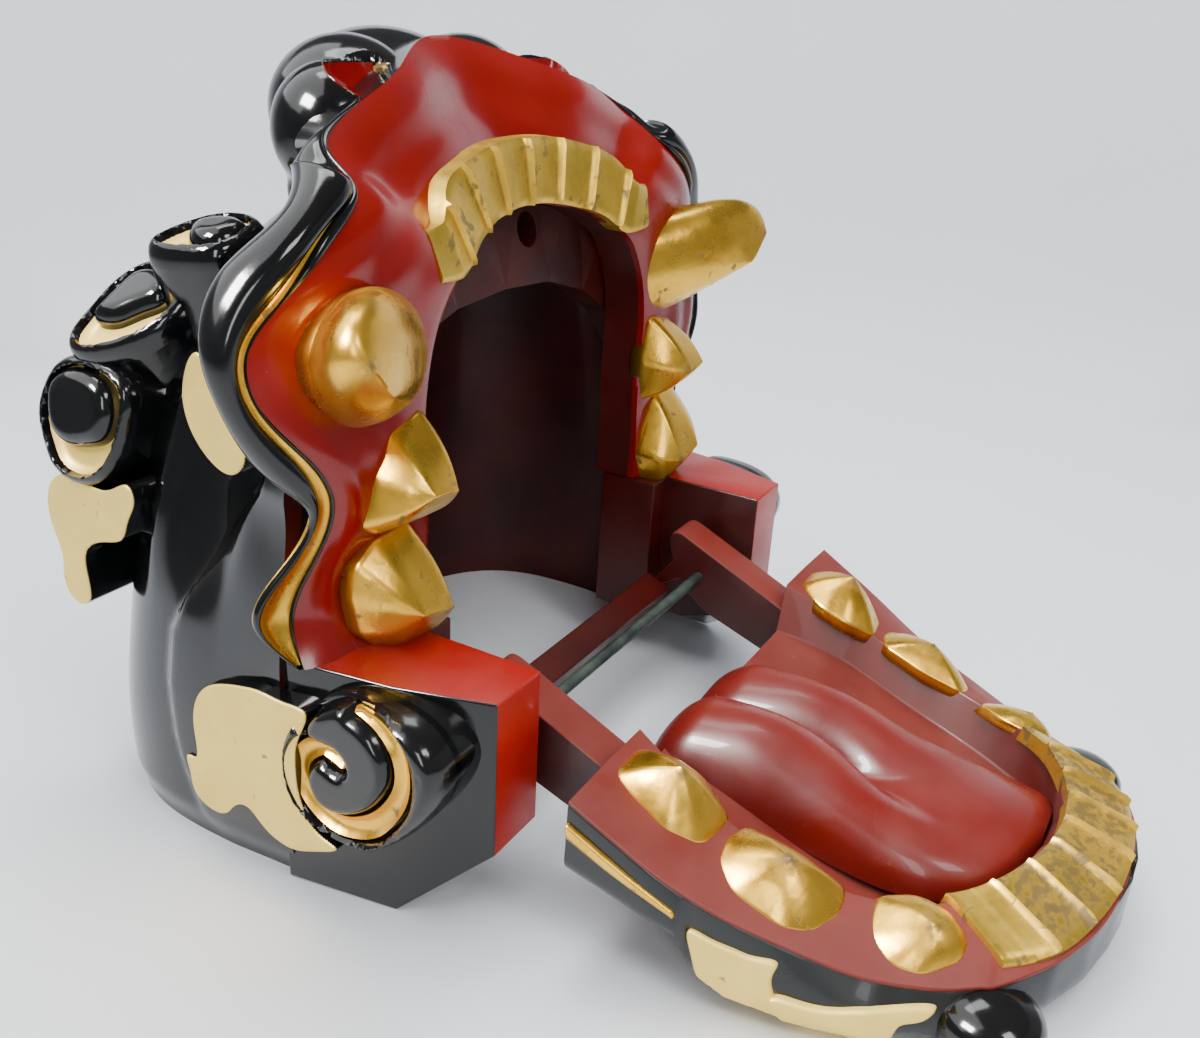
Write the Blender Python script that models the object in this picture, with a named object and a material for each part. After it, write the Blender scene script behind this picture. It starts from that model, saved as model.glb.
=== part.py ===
"""Lion dance head of carved and lacquered wood, standing on its neck opening, nose up, jaw open."""

from math import cos, pi, radians, sin

import bmesh
import bpy
from mathutils import Matrix, Vector

# Frame: metres, +X to one side, -Y out of the mouth, +Z up, floor at 0.
# Y is measured from the pivot rod, and the whole head is then moved by CENTRE_Y.

# Gap kept between pieces that touch.
GAP = 0.0003
# How far a piece is drawn into its seat before the seat is cut from it.
SEAT = 0.006
# A seat's sharp corners grow by no more than this many gaps.
SEAT_CORNER_LIMIT = 2.5
# Edges shorter than this are welded after a cut.
NEEDLE = 0.00002
SHARP_ANGLE = 35
# Faces that bend less than this are joined before the last triangulation.
FLAT_ANGLE = 0.3

# Head shell: level, half width, back, and half width and place of the front corners.
SHELL_SECTIONS = (
    # z, half_width, back, front_half_width, front
    (0.000, 0.193, 0.262, 0.190, 0.085),
    (0.050, 0.1935, 0.264, 0.191, 0.085),
    (0.100, 0.188, 0.260, 0.190, 0.085),
    (0.150, 0.180, 0.254, 0.186, 0.085),
    (0.200, 0.170, 0.246, 0.178, 0.085),
    (0.240, 0.158, 0.236, 0.188, 0.085),
    (0.270, 0.143, 0.222, 0.190, 0.088),
    (0.295, 0.125, 0.203, 0.172, 0.092),
    (0.315, 0.100, 0.186, 0.140, 0.100),
    (0.330, 0.065, 0.168, 0.100, 0.108),
)
SHELL_MIDDLE_Y = 0.130
SHELL_COLLAR_Y = 0.104
# The collar behind a front corner: its least run along Y, and its share of the flare.
SHELL_COLLAR_RUN = 0.012
SHELL_COLLAR_SHARE = 0.6
SHELL_WALL = 0.015
SHELL_BACK_WALL = 0.032
SHELL_ROOF = 0.018
SHELL_SQUARENESS = 3.2
# How far under the floor the cutter of the hollow starts.
HOLLOW_START = -0.02

# Mouth rim, from the cheek block to the middle of the upper lip.
RIM_STATIONS = (
    # outer x, outer y, outer z, inner x, inner y, inner z
    (0.170, 0.070, 0.1305, 0.112, 0.062, 0.1305),
    (0.188, 0.080, 0.148, 0.112, 0.061, 0.150),
    (0.180, 0.070, 0.183, 0.110, 0.061, 0.180),
    (0.177, 0.062, 0.210, 0.110, 0.061, 0.205),
    (0.190, 0.065, 0.236, 0.111, 0.061, 0.225),
    (0.206, 0.076, 0.262, 0.111, 0.061, 0.242),
    (0.207, 0.0785, 0.280, 0.108, 0.061, 0.258),
    (0.190, 0.073, 0.302, 0.100, 0.0615, 0.277),
    (0.163, 0.068, 0.326, 0.0857, 0.062, 0.2938),
    (0.142, 0.075, 0.343, 0.073, 0.066, 0.301),
    (0.137, 0.0945, 0.357, 0.058, 0.072, 0.309),
    (0.105, 0.102, 0.374, 0.040, 0.077, 0.314),
    (0.062, 0.114, 0.387, 0.022, 0.080, 0.317),
    (0.000, 0.138, 0.400, 0.000, 0.082, 0.319),
)
RIM_BULGE = 0.005
RIM_DEPTH = 0.024
RIM_PALATE_DEPTH = 0.028
# How far the back of the rim draws in from its outer line, as a share of its width.
RIM_BACK_SHARE = 0.06

# Palate panel behind the rim, from the side to the middle: its lower edge is an arch.
PALATE_STATIONS = (
    # x, bottom z, top z, top y
    (0.150, 0.206, 0.290, 0.088),
    (0.125, 0.234, 0.315, 0.091),
    (0.085, 0.257, 0.338, 0.100),
    (0.045, 0.269, 0.353, 0.110),
    (0.000, 0.272, 0.360, 0.116),
)
PALATE_FRONT = 0.091
PALATE_THICKNESS = 0.020
PALATE_HOLE_X = 0.030
PALATE_HOLE_Z = 0.300
PALATE_HOLE_RADIUS = 0.010
PALATE_HOLE_LENGTH = 0.080
PALATE_HOLE_SIDES = 12

# Upper lip roll: section round the lip line, as outward and depth offsets.
BAND_PROFILE = (
    # outward, depth
    (-0.004, 0.004),
    (0.003, -0.003),
    (0.009, -0.001),
    (0.013, 0.007),
    (0.014, 0.020),
    (0.011, 0.032),
    (0.003, 0.040),
    (-0.014, 0.040),
    (-0.014, 0.016),
)
# How far the roll starts behind the rim's outer line.
BAND_SET_BACK = 0.001
# How full the roll is at each station of the rim, from the cheek up.
BAND_FULLNESS = (0.0, 0.55, 0.7, 0.9, 1.0, 1.0, 1.0, 1.0, 1.0, 0.9, 0.6, 0.35)
GROOVE_WIDTH = (0.0, 0.014, 0.012, 0.003)
GROOVE_LEAST_WIDTH = 0.002
GROOVE_SINK = 0.006
GROOVE_THICKNESS = 0.006
# How far the gold runs in under the rim, and how far it stops short of the roll.
GROOVE_UNDER_RIM = 0.004
GROOVE_SHORT = 0.0006

# Nose: centre and radii of each lobe.
NOSE_BULB = ((0.0, 0.176, 0.361), (0.050, 0.058, 0.041))
NOSE_WING = ((0.092, 0.138, 0.357), (0.040, 0.038, 0.034))
NOSTRIL_CENTRE = (0.078, 0.124, 0.390)
NOSTRIL_AXIS = (0.25, -0.15, 1.0)
NOSTRIL_RADIUS = 0.016
NOSTRIL_DEPTH = 0.026

# Cheek blocks that hold the rod.
BLOCK_INNER = 0.130
BLOCK_OUTER = 0.165
BLOCK_STEP = 0.112
BLOCK_STEP_Y = 0.045
BLOCK_FRONT = -0.021
BLOCK_BACK = 0.0847
BLOCK_TOP = 0.1298
BLOCK_CHAMFER_Z = 0.045
BLOCK_FOOT_Y = 0.027
BLOCK_FLARE = 0.182
BLOCK_BACK_X = 0.192
# The flare starts this far behind the foot's front, so that the foot keeps its corners.
BLOCK_FLARE_RUN = 0.001

# Rod and hinge.
PIVOT_Z = 0.0826
ROD_RADIUS = 0.0035
ROD_HALF_LENGTH = 0.152
ROD_HOLE_RADIUS = 0.0036
SOCKET_LENGTH = 0.050

# Jaw sections, from the shoulders to the chin. The rim dips between them like a boat's.
JAW_SECTIONS = (
    # y, outer x, outer z, inner x, inner z, floor z, underside z
    (-0.0590, 0.1650, 0.0920, 0.0965, 0.0935, 0.0640, 0.0560),
    (-0.0765, 0.1637, 0.0825, 0.1010, 0.0860, 0.0600, 0.0520),
    (-0.1000, 0.1615, 0.0700, 0.1070, 0.0770, 0.0520, 0.0440),
    (-0.1186, 0.1575, 0.0605, 0.1090, 0.0685, 0.0440, 0.0360),
    (-0.1385, 0.1520, 0.0520, 0.1090, 0.0610, 0.0360, 0.0280),
    (-0.1580, 0.1460, 0.0457, 0.1070, 0.0555, 0.0300, 0.0220),
    (-0.1770, 0.1405, 0.0405, 0.1030, 0.0520, 0.0260, 0.0180),
    (-0.1930, 0.1350, 0.0365, 0.0970, 0.0505, 0.0240, 0.0160),
    (-0.2126, 0.1260, 0.0342, 0.0860, 0.0510, 0.0230, 0.0150),
    (-0.2280, 0.1175, 0.0335, 0.0720, 0.0535, 0.0250, 0.0150),
    (-0.2400, 0.1095, 0.0345, 0.0520, 0.0560, 0.0300, 0.0160),
    (-0.2480, 0.1030, 0.0350, 0.0200, 0.0565, 0.0450, 0.0170),
    (-0.2571, 0.0925, 0.0368, 0.0160, 0.0545, 0.0520, 0.0190),
    (-0.2673, 0.0785, 0.0392, 0.0130, 0.0515, 0.0490, 0.0210),
    (-0.2733, 0.0670, 0.0409, 0.0110, 0.0495, 0.0470, 0.0240),
    (-0.2792, 0.0520, 0.0430, 0.0090, 0.0475, 0.0450, 0.0270),
    (-0.2835, 0.0320, 0.0450, 0.0060, 0.0470, 0.0445, 0.0300),
    (-0.2855, 0.0150, 0.0460, 0.0040, 0.0468, 0.0440, 0.0320),
)
# Black outer wall of the jaw, deeper in front of the step under the gold bar.
LIP_SECTIONS = (
    # y, top x, waist x, bottom x, bottom z
    (-0.0590, 0.1645, 0.1655, 0.1620, 0.0520),
    (-0.1000, 0.1610, 0.1640, 0.1590, 0.0405),
    (-0.1150, 0.1580, 0.1620, 0.1570, 0.0365),
    (-0.1200, 0.1565, 0.1570, 0.1520, 0.0180),
    (-0.1400, 0.1510, 0.1560, 0.1480, 0.0080),
    (-0.1700, 0.1420, 0.1500, 0.1370, 0.0030),
    (-0.2000, 0.1315, 0.1420, 0.1200, 0.0000),
    (-0.2300, 0.1160, 0.1240, 0.1000, 0.0000),
    (-0.2500, 0.1005, 0.1070, 0.0820, 0.0000),
    (-0.2660, 0.0800, 0.0840, 0.0600, 0.0010),
    (-0.2780, 0.0550, 0.0570, 0.0400, 0.0040),
    (-0.2850, 0.0250, 0.0270, 0.0200, 0.0090),
    (-0.2875, 0.0100, 0.0110, 0.0080, 0.0150),
)
LIP_WAIST = 0.45
# Thickness of the tray's projecting edge, and of the wall round the tray.
RIM_EDGE = 0.0066
LIP_WALL = 0.008
# How far inside the tray's wall the trough that holds it stops.
TROUGH_LAP = 0.002
# The tray's foot: how much of its half width the edge may take, and its draw in edges.
TRAY_EDGE_SHARE = 0.3
TRAY_FOOT_EDGES = 1.5
# How far the tray's inner wall leans in, and the most of its half width that takes.
TRAY_LEAN = 0.008
TRAY_LEAN_SHARE = 0.2

# Jaw arms and handle.
ARM_INNER = 0.0942
ARM_OUTER = 0.1195
ARM_END_RADIUS = 0.028
ARM_HEIGHT = 0.050
ARM_SLOPE = radians(24)
ARM_TOP_REACH = 0.078
ARM_LOW_REACH = 0.052
ARM_END_STEPS = 10
# Corner of the arm's end that the handle is let into.
ARM_HEEL_STEP = 6
ARM_HEEL = (0.040, -0.022)
HANDLE_CENTRE = (0.0310, 0.0650)
HANDLE_SIZE = (0.018, 0.016)
HANDLE_TURN = radians(24)

BLACK = ("black_lacquer", (0.010, 0.010, 0.012), 0.12, 0.0)
RED = ("red_lacquer", (0.42, 0.018, 0.012), 0.2, 0.0)
JAW_RED = ("jaw_red_lacquer", (0.30, 0.035, 0.022), 0.35, 0.0)
GOLD = ("gold_leaf", (0.78, 0.50, 0.13), 0.3, 0.9)
METAL = ("rod_metal", (0.035, 0.055, 0.045), 0.45, 0.7)


def clear_scene():
    for item in list(bpy.data.objects):
        bpy.data.objects.remove(item, do_unlink=True)


def make_collection(name):
    collection = bpy.data.collections.new(name)
    bpy.context.scene.collection.children.link(collection)
    return collection


def make_material(name, finish):
    material = bpy.data.materials.new(name + "_" + finish[0])
    material.use_nodes = True
    shader = material.node_tree.nodes["Principled BSDF"]
    shader.inputs["Base Color"].default_value = (*finish[1], 1.0)
    shader.inputs["Roughness"].default_value = finish[2]
    shader.inputs["Metallic"].default_value = finish[3]
    return material


def make_empty(name, location, parent=None):
    empty = bpy.data.objects.new(name, None)
    HEAD.objects.link(empty)
    empty.location = location
    empty.parent = parent
    return empty


def finish_mesh(name, bm, finish, parent, sharp_angle=SHARP_ANGLE):
    """Turn a bmesh into a named piece of triangles with its own material."""
    bmesh.ops.recalc_face_normals(bm, faces=bm.faces)
    bmesh.ops.triangulate(bm, faces=bm.faces)
    mesh = bpy.data.meshes.new(name)
    bm.to_mesh(mesh)
    bm.free()
    mesh.shade_smooth()
    mesh.set_sharp_from_angle(angle=radians(sharp_angle))
    piece = bpy.data.objects.new(name, mesh)
    HEAD.objects.link(piece)
    piece.parent = parent
    piece.data.materials.append(make_material(name, finish))
    return piece


def add_ring_loft(bm, rings):
    """Skin a row of closed rings with the same count, and cap both ends."""
    rows = [[bm.verts.new(point) for point in ring] for ring in rings]
    for low, high in zip(rows, rows[1:]):
        for i in range(len(low)):
            j = (i + 1) % len(low)
            bm.faces.new((low[i], low[j], high[j], high[i]))
    bm.faces.new(rows[0][::-1])
    bm.faces.new(rows[-1])


def loft(name, rings, finish, parent, sharp_angle=SHARP_ANGLE):
    bm = bmesh.new()
    add_ring_loft(bm, rings)
    return finish_mesh(name, bm, finish, parent, sharp_angle)


def make_cutter(name, rings):
    bm = bmesh.new()
    add_ring_loft(bm, rings)
    bmesh.ops.recalc_face_normals(bm, faces=bm.faces)
    mesh = bpy.data.meshes.new(name)
    bm.to_mesh(mesh)
    bm.free()
    return link_cutter(name, mesh, ROOT)


def link_cutter(name, mesh, parent=None):
    cutter = bpy.data.objects.new(name, mesh)
    CUTTERS.objects.link(cutter)
    cutter.parent = parent
    cutter.hide_render = True
    cutter.display_type = "WIRE"
    return cutter


def mirrored(points):
    """Mirror a ring in X and keep its winding."""
    return [Vector((-p[0], p[1], p[2])) for p in reversed(points)]


def make_seat(piece):
    """Cutter for later pieces: the piece before any cut, in world space, grown by the gap."""
    bpy.context.view_layer.update()
    bm = bmesh.new()
    bm.from_mesh(piece.data)
    bm.transform(piece.matrix_world)
    bm.normal_update()
    moves = [vert.normal * GAP * min(vert.calc_shell_factor(), SEAT_CORNER_LIMIT) for vert in bm.verts]
    for vert, move in zip(bm.verts, moves):
        vert.co += move
    mesh = bpy.data.meshes.new(piece.name + "_seat")
    bm.to_mesh(mesh)
    bm.free()
    return link_cutter(piece.name + "_seat", mesh)


def apply_boolean(piece, cutter, operation):
    modifier = piece.modifiers.new("cut", "BOOLEAN")
    modifier.operation = operation
    modifier.solver = "EXACT"
    modifier.object = cutter
    bpy.context.view_layer.update()
    evaluated = piece.evaluated_get(bpy.context.evaluated_depsgraph_get())
    mesh = bpy.data.meshes.new_from_object(evaluated)
    piece.modifiers.clear()
    piece.data = mesh


def boxes_meet(first, second):
    """Whether two objects' boxes in world space touch."""
    bpy.context.view_layer.update()
    boxes = []
    for item in (first, second):
        corners = [item.matrix_world @ Vector(corner) for corner in item.bound_box]
        boxes.append([(min(c[i] for c in corners), max(c[i] for c in corners)) for i in range(3)])
    return all(
        low_a < high_b and low_b < high_a
        for (low_a, high_a), (low_b, high_b) in zip(*boxes)
    )


def settle(piece):
    """Cut the seats of the earlier pieces out of a new piece."""
    seat = make_seat(piece)
    for earlier in SEATS:
        if boxes_meet(piece, earlier):
            apply_boolean(piece, earlier, "DIFFERENCE")
    keep_main_body(piece)
    SEATS.append(seat)
    return piece


def reach(verts):
    """How far a group of vertices spreads along the three axes together."""
    return sum(
        max(vert.co[axis] for vert in verts) - min(vert.co[axis] for vert in verts)
        for axis in range(3)
    )


def mirrored_mesh(mesh):
    bm = bmesh.new()
    bm.from_mesh(mesh)
    for vert in bm.verts:
        vert.co.x = -vert.co.x
    bmesh.ops.reverse_faces(bm, faces=bm.faces)
    return bm


def add_mirror_image(left, finish):
    """The right-hand twin of a settled left piece, and its seat."""
    name = left.name.replace("_left", "_right")
    finish_mesh(name, mirrored_mesh(left.data), finish, left.parent)
    bm = mirrored_mesh(SEATS[-1].data)
    mesh = bpy.data.meshes.new(name + "_seat")
    bm.to_mesh(mesh)
    bm.free()
    SEATS.append(link_cutter(name + "_seat", mesh))


def make_pair(name, rings, finish, parent, sharp_angle=SHARP_ANGLE):
    """A settled left piece from rings drawn for the right side, and its mirror image."""
    left_rings = [mirrored(ring) for ring in rings]
    left = settle(loft(name + "_left", left_rings, finish, parent, sharp_angle))
    add_mirror_image(left, finish)


def keep_main_body(piece):
    """Drop small islands that a cut leaves, and weld needle edges."""
    bm = bmesh.new()
    bm.from_mesh(piece.data)
    bmesh.ops.remove_doubles(bm, verts=bm.verts, dist=NEEDLE)
    bmesh.ops.dissolve_degenerate(bm, dist=NEEDLE, edges=bm.edges)
    loose = [edge for edge in bm.edges if not edge.link_faces]
    bmesh.ops.delete(bm, geom=loose, context="EDGES")
    unseen = set(bm.verts)
    islands = []
    while unseen:
        stack = [unseen.pop()]
        island = []
        while stack:
            vert = stack.pop()
            island.append(vert)
            for edge in vert.link_edges:
                other = edge.other_vert(vert)
                if other in unseen:
                    unseen.remove(other)
                    stack.append(other)
        islands.append(island)
    islands.sort(key=reach)
    for island in islands[:-1]:
        bmesh.ops.delete(bm, geom=island, context="VERTS")
    bm.normal_update()
    bmesh.ops.dissolve_limit(bm, angle_limit=radians(FLAT_ANGLE), verts=bm.verts, edges=bm.edges)
    bmesh.ops.triangulate(bm, faces=bm.faces)
    bm.to_mesh(piece.data)
    bm.free()
    piece.data.shade_smooth()
    piece.data.set_sharp_from_angle(angle=radians(SHARP_ANGLE))


def add_cutter_cylinder(name, centre, axis, radius, length, segments=16):
    bm = bmesh.new()
    bmesh.ops.create_cone(
        bm, cap_ends=True, segments=segments, radius1=radius, radius2=radius, depth=length
    )
    turn = Vector((0, 0, 1)).rotation_difference(Vector(axis)).to_matrix().to_4x4()
    bm.transform(Matrix.Translation(centre) @ turn)
    mesh = bpy.data.meshes.new(name)
    bm.to_mesh(mesh)
    bm.free()
    return link_cutter(name, mesh, ROOT)


# Head shell

def shell_ring(z, half_width, back, front_half_width, front, segments=20):
    """Hood section: two flared front corners and a squarish round back."""
    collar = half_width + SHELL_COLLAR_SHARE * (front_half_width - half_width)
    collar_y = max(SHELL_COLLAR_Y, front + SHELL_COLLAR_RUN)
    ring = [Vector((front_half_width, front, z)), Vector((collar, collar_y, z))]
    depth = back - SHELL_MIDDLE_Y
    power = 2.0 / SHELL_SQUARENESS
    for i in range(segments + 1):
        angle = pi * i / segments
        x = half_width * abs(cos(angle)) ** power * (1 if cos(angle) > 0 else -1)
        y = SHELL_MIDDLE_Y + depth * abs(sin(angle)) ** power
        ring.append(Vector((x, y, z)))
    ring.append(Vector((-collar, collar_y, z)))
    ring.append(Vector((-front_half_width, front, z)))
    return ring


def make_head_shell():
    outer = [shell_ring(*row) for row in SHELL_SECTIONS]
    shell = loft("head_shell", outer, BLACK, ROOT)
    top = SHELL_SECTIONS[-1][0]
    inner = []
    for z, half_width, back, front_half_width, front in SHELL_SECTIONS:
        level = HOLLOW_START if z == 0.0 else z - SHELL_ROOF * z / top
        width = half_width - SHELL_WALL
        thin = SHELL_BACK_WALL - (SHELL_BACK_WALL - SHELL_WALL) * z / top
        inner.append(shell_ring(level, width, back - thin, width, 0.0))
    apply_boolean(shell, make_cutter("hollow", inner), "DIFFERENCE")
    settle(shell)


# Mouth

def rim_stations(side=1):
    return [
        (Vector((side * ox, oy, oz)), Vector((side * ix, iy, iz)))
        for ox, oy, oz, ix, iy, iz in RIM_STATIONS
    ]


def rim_section(outer, inner):
    """Closed section of the rim: bowed front, and a back one depth behind it."""
    front = []
    for share in (0.0, 0.25, 0.5, 0.75, 1.0):
        point = inner.lerp(outer, share)
        point.y -= RIM_BULGE * sin(pi * share)
        front.append(point)
    back_outer = outer.lerp(inner, RIM_BACK_SHARE) + Vector((0, RIM_DEPTH, 0))
    back_inner = inner + Vector((0, RIM_PALATE_DEPTH, 0))
    return front + [back_outer, back_inner]


def make_mouth_rim():
    right = [rim_section(*station) for station in rim_stations(1)]
    left = [rim_section(*station) for station in rim_stations(-1)]
    settle(loft("mouth_rim", right + left[-2::-1], RED, ROOT, 50))


def make_palate():
    """Panel behind the rim, over the hollow, with two nostril passages."""
    rings = []
    for x, bottom, top, top_y in PALATE_STATIONS:
        rings.append([
            Vector((x, PALATE_FRONT, bottom)),
            Vector((x, top_y, top)),
            Vector((x, top_y + PALATE_THICKNESS, top)),
            Vector((x, PALATE_FRONT + PALATE_THICKNESS, bottom)),
        ])
    left = [[Vector((-p.x, p.y, p.z)) for p in ring] for ring in rings]
    palate = loft("palate", rings + left[-2::-1], JAW_RED, ROOT, 60)
    for side in (-1, 1):
        hole = add_cutter_cylinder(
            "palate_hole", (side * PALATE_HOLE_X, PALATE_FRONT, PALATE_HOLE_Z),
            (0, 1, 0), PALATE_HOLE_RADIUS, PALATE_HOLE_LENGTH, PALATE_HOLE_SIDES,
        )
        apply_boolean(palate, hole, "DIFFERENCE")
    settle(palate)


def outward_normals(points):
    """Unit normals in XZ that point away from the mouth, for a row of points."""
    normals = []
    for i in range(len(points)):
        ahead = points[min(i + 1, len(points) - 1)]
        behind = points[max(i - 1, 0)]
        along = Vector((ahead.x - behind.x, 0, ahead.z - behind.z)).normalized()
        normals.append(Vector((along.z, 0, -along.x)))
    return normals


def groove_width(index):
    return GROOVE_WIDTH[index] if index < len(GROOVE_WIDTH) else 0.0


def make_lip_bands():
    line = [outer for outer, inner in rim_stations(1)]
    normals = outward_normals(line)
    rings = []
    for i, fullness in enumerate(BAND_FULLNESS):
        if fullness == 0.0:
            continue
        ring = []
        for outward, depth in BAND_PROFILE:
            offset = normals[i] * (outward * fullness + groove_width(i))
            ring.append(line[i] + offset + Vector((0, depth * fullness + BAND_SET_BACK, 0)))
        rings.append(ring)
    make_pair("lip_band", rings, BLACK, ROOT)


def make_lip_grooves():
    line = [outer for outer, inner in rim_stations(1)]
    normals = outward_normals(line)
    rings = []
    front = Vector((0, GROOVE_SINK, 0))
    back = Vector((0, GROOVE_SINK + GROOVE_THICKNESS, 0))
    for i in range(len(GROOVE_WIDTH)):
        width = max(groove_width(i), GROOVE_LEAST_WIDTH)
        near = line[i] - normals[i] * GROOVE_UNDER_RIM
        far = line[i] + normals[i] * (width - GROOVE_SHORT)
        rings.append([near + front, far + front, far + back, near + back])
    make_pair("lip_groove", rings, GOLD, ROOT)


# Nose

def add_ellipsoid(bm, centre, radii, u_segments=16, v_segments=10):
    ball = bmesh.ops.create_uvsphere(bm, u_segments=u_segments, v_segments=v_segments, radius=1.0)
    for vert in ball["verts"]:
        vert.co = Vector((vert.co.x * radii[0], vert.co.y * radii[1], vert.co.z * radii[2]))
        vert.co += Vector(centre)


def join_ellipsoids(name, parts, finish, parent):
    """Union of ellipsoids as one closed body."""
    pieces = []
    for index, (centre, radii) in enumerate(parts):
        bm = bmesh.new()
        add_ellipsoid(bm, centre, radii)
        pieces.append(finish_mesh(name if index == 0 else name + "_add", bm, finish, parent))
    for extra in pieces[1:]:
        apply_boolean(pieces[0], extra, "UNION")
        bpy.data.objects.remove(extra)
    return pieces[0]


def make_nose():
    centre, radii = NOSE_WING
    wings = [((side * centre[0], centre[1], centre[2]), radii) for side in (-1, 1)]
    nose = join_ellipsoids("nose", [NOSE_BULB] + wings, BLACK, ROOT)
    for side in (-1, 1):
        mouth = [side * NOSTRIL_CENTRE[0], *NOSTRIL_CENTRE[1:]]
        axis = [side * NOSTRIL_AXIS[0], *NOSTRIL_AXIS[1:]]
        hole = add_cutter_cylinder("nostril_hole", mouth, axis, NOSTRIL_RADIUS, 2 * NOSTRIL_DEPTH)
        apply_boolean(nose, hole, "DIFFERENCE")
    settle(nose)


# Curls and leaves

def frame_from_normal(normal, up):
    """Matrix whose columns are right, up and the given normal."""
    normal = Vector(normal).normalized()
    up = Vector(up)
    up = (up - normal * up.dot(normal)).normalized()
    right = up.cross(normal)
    return Matrix((right, up, normal)).transposed()


def disc_rings(radii, levels, segments, frame, centre):
    """Rings of an oval boss: radii are the oval's two radii, levels scale and height."""
    rings = []
    for scale, height in levels:
        ring = []
        for i in range(segments):
            angle = 2 * pi * i / segments
            local = Vector((radii[0] * scale * cos(angle), radii[1] * scale * sin(angle), height))
            ring.append(Vector(centre) + frame @ local)
        rings.append(ring)
    return rings


# Brow curls: centre on the crown's edge, the way the face looks, and the oval's radii.
BROW_CURLS = (
    # centre, normal, up, radii, height
    ((0.122, 0.186, 0.300), (0.25, 0.05, 0.97), (0.97, 0.0, -0.25), (0.029, 0.026), 0.012),
    ((0.146, 0.227, 0.262), (0.62, 0.05, 0.78), (0.0, 1.0, 0.0), (0.026, 0.034), 0.014),
    ((0.172, 0.230, 0.206), (0.97, -0.05, 0.20), (0.0, 0.0, 1.0), (0.028, 0.030), 0.014),
)
# The height that the levels below are drawn for.
CURL_HEIGHT = 0.014
CURL_SIDES = 16
CURL_ROOT = 0.034
CURL_LEVELS = ((0.86, -CURL_ROOT), (1.0, -0.010), (1.0, 0.006), (0.93, 0.010))
CURL_DISH = ((0.84, 0.009), (0.72, 0.002))
CURL_BOSS = ((0.62, 0.003), (0.58, 0.009), (0.40, 0.013), (0.20, 0.014))

CHEEK_CURL_CENTRE = (0.187, 0.034, 0.091)
CHEEK_CURL_NORMAL = (1.0, -0.06, 0.04)
CHEEK_CURL_RADII = (0.0475, 0.0470)
CHEEK_CURL_SIDES = 20
CHEEK_CURL_LEVELS = (
    (1.0, -0.024), (1.0, 0.004), (0.94, 0.010), (0.86, 0.010), (0.78, 0.003),
    (0.62, 0.002), (0.56, 0.010), (0.36, 0.015), (0.16, 0.016),
)


def make_brow_curls():
    for index, (centre, normal, up, radii, height) in enumerate(BROW_CURLS, start=1):
        grow = height / CURL_HEIGHT
        levels = [(scale, rise * (grow if rise > 0 else 1.0))
                  for scale, rise in CURL_LEVELS + CURL_DISH + CURL_BOSS]
        rings = disc_rings(radii, levels, CURL_SIDES, frame_from_normal(normal, up), centre)
        make_pair("brow_curl_%d" % index, rings, BLACK, ROOT)


def make_cheek_curls():
    frame = frame_from_normal(CHEEK_CURL_NORMAL, (0, 0, 1))
    rings = disc_rings(
        CHEEK_CURL_RADII, CHEEK_CURL_LEVELS, CHEEK_CURL_SIDES, frame, CHEEK_CURL_CENTRE
    )
    make_pair("cheek_curl", rings, BLACK, ROOT)


# Leaves: outlines on the side of the head, and how far out the face and the back lie.
CHEEK_LEAF_OUTLINE = (
    # y, z
    (0.097, 0.113), (0.127, 0.104), (0.139, 0.089), (0.143, 0.060), (0.147, 0.053),
    (0.142, 0.034), (0.125, 0.028), (0.113, 0.039), (0.102, 0.038), (0.084, 0.026),
    (0.072, 0.040), (0.086, 0.058), (0.086, 0.083), (0.078, 0.108),
)
CHEEK_LEAF_FACE = 0.1965
CHEEK_LEAF_BACK = 0.182
BROW_LEAF_OUTLINE = (
    # y, z
    (0.244, 0.182), (0.213, 0.183), (0.189, 0.187), (0.191, 0.177), (0.200, 0.158),
    (0.222, 0.149), (0.232, 0.136), (0.232, 0.116), (0.240, 0.107), (0.250, 0.111),
    (0.249, 0.125), (0.256, 0.148), (0.252, 0.169),
)
BROW_LEAF_FACE = 0.183
BROW_LEAF_BACK = 0.150


def make_leaves(name, outline, face, back):
    """Flat leaf on each side: the outline drawn between the back and the face."""
    rings = [[Vector((x, y, z)) for y, z in outline] for x in (back, face)]
    make_pair(name, rings, GOLD, ROOT)


CRESCENT_CENTRE = (0.190, 0.108, 0.243)
CRESCENT_OUTER = 0.034
CRESCENT_WIDTH = 0.013
CRESCENT_HALF_ANGLE = radians(55)
CRESCENT_THICKNESS = 0.010
CRESCENT_STEPS = 7
# Where the arc's chord lies, as a share of its radius, and how fast the crescent narrows.
CRESCENT_CHORD = 0.85
CRESCENT_TAPER = 1.5


def make_side_crescents():
    """Crescent on the collar's back, between an outer arc and a flatter inner one."""
    x, y, z = CRESCENT_CENTRE
    last = CRESCENT_STEPS - 1
    angles = [CRESCENT_HALF_ANGLE * (2 * i / last - 1) for i in range(CRESCENT_STEPS)]
    arc = [(CRESCENT_OUTER * (cos(a) - CRESCENT_CHORD), CRESCENT_OUTER * sin(a)) for a in angles]
    inner = [
        (out - CRESCENT_WIDTH * cos(CRESCENT_TAPER * a), level)
        for (out, level), a in zip(arc, angles)
    ]
    outline = arc + inner[-2:0:-1]
    rings = [
        [Vector((x + lift, y + out, z + level)) for out, level in outline]
        for lift in (-CRESCENT_THICKNESS, 0.0)
    ]
    make_pair("side_crescent", rings, GOLD, ROOT)


# Cheek blocks

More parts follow.
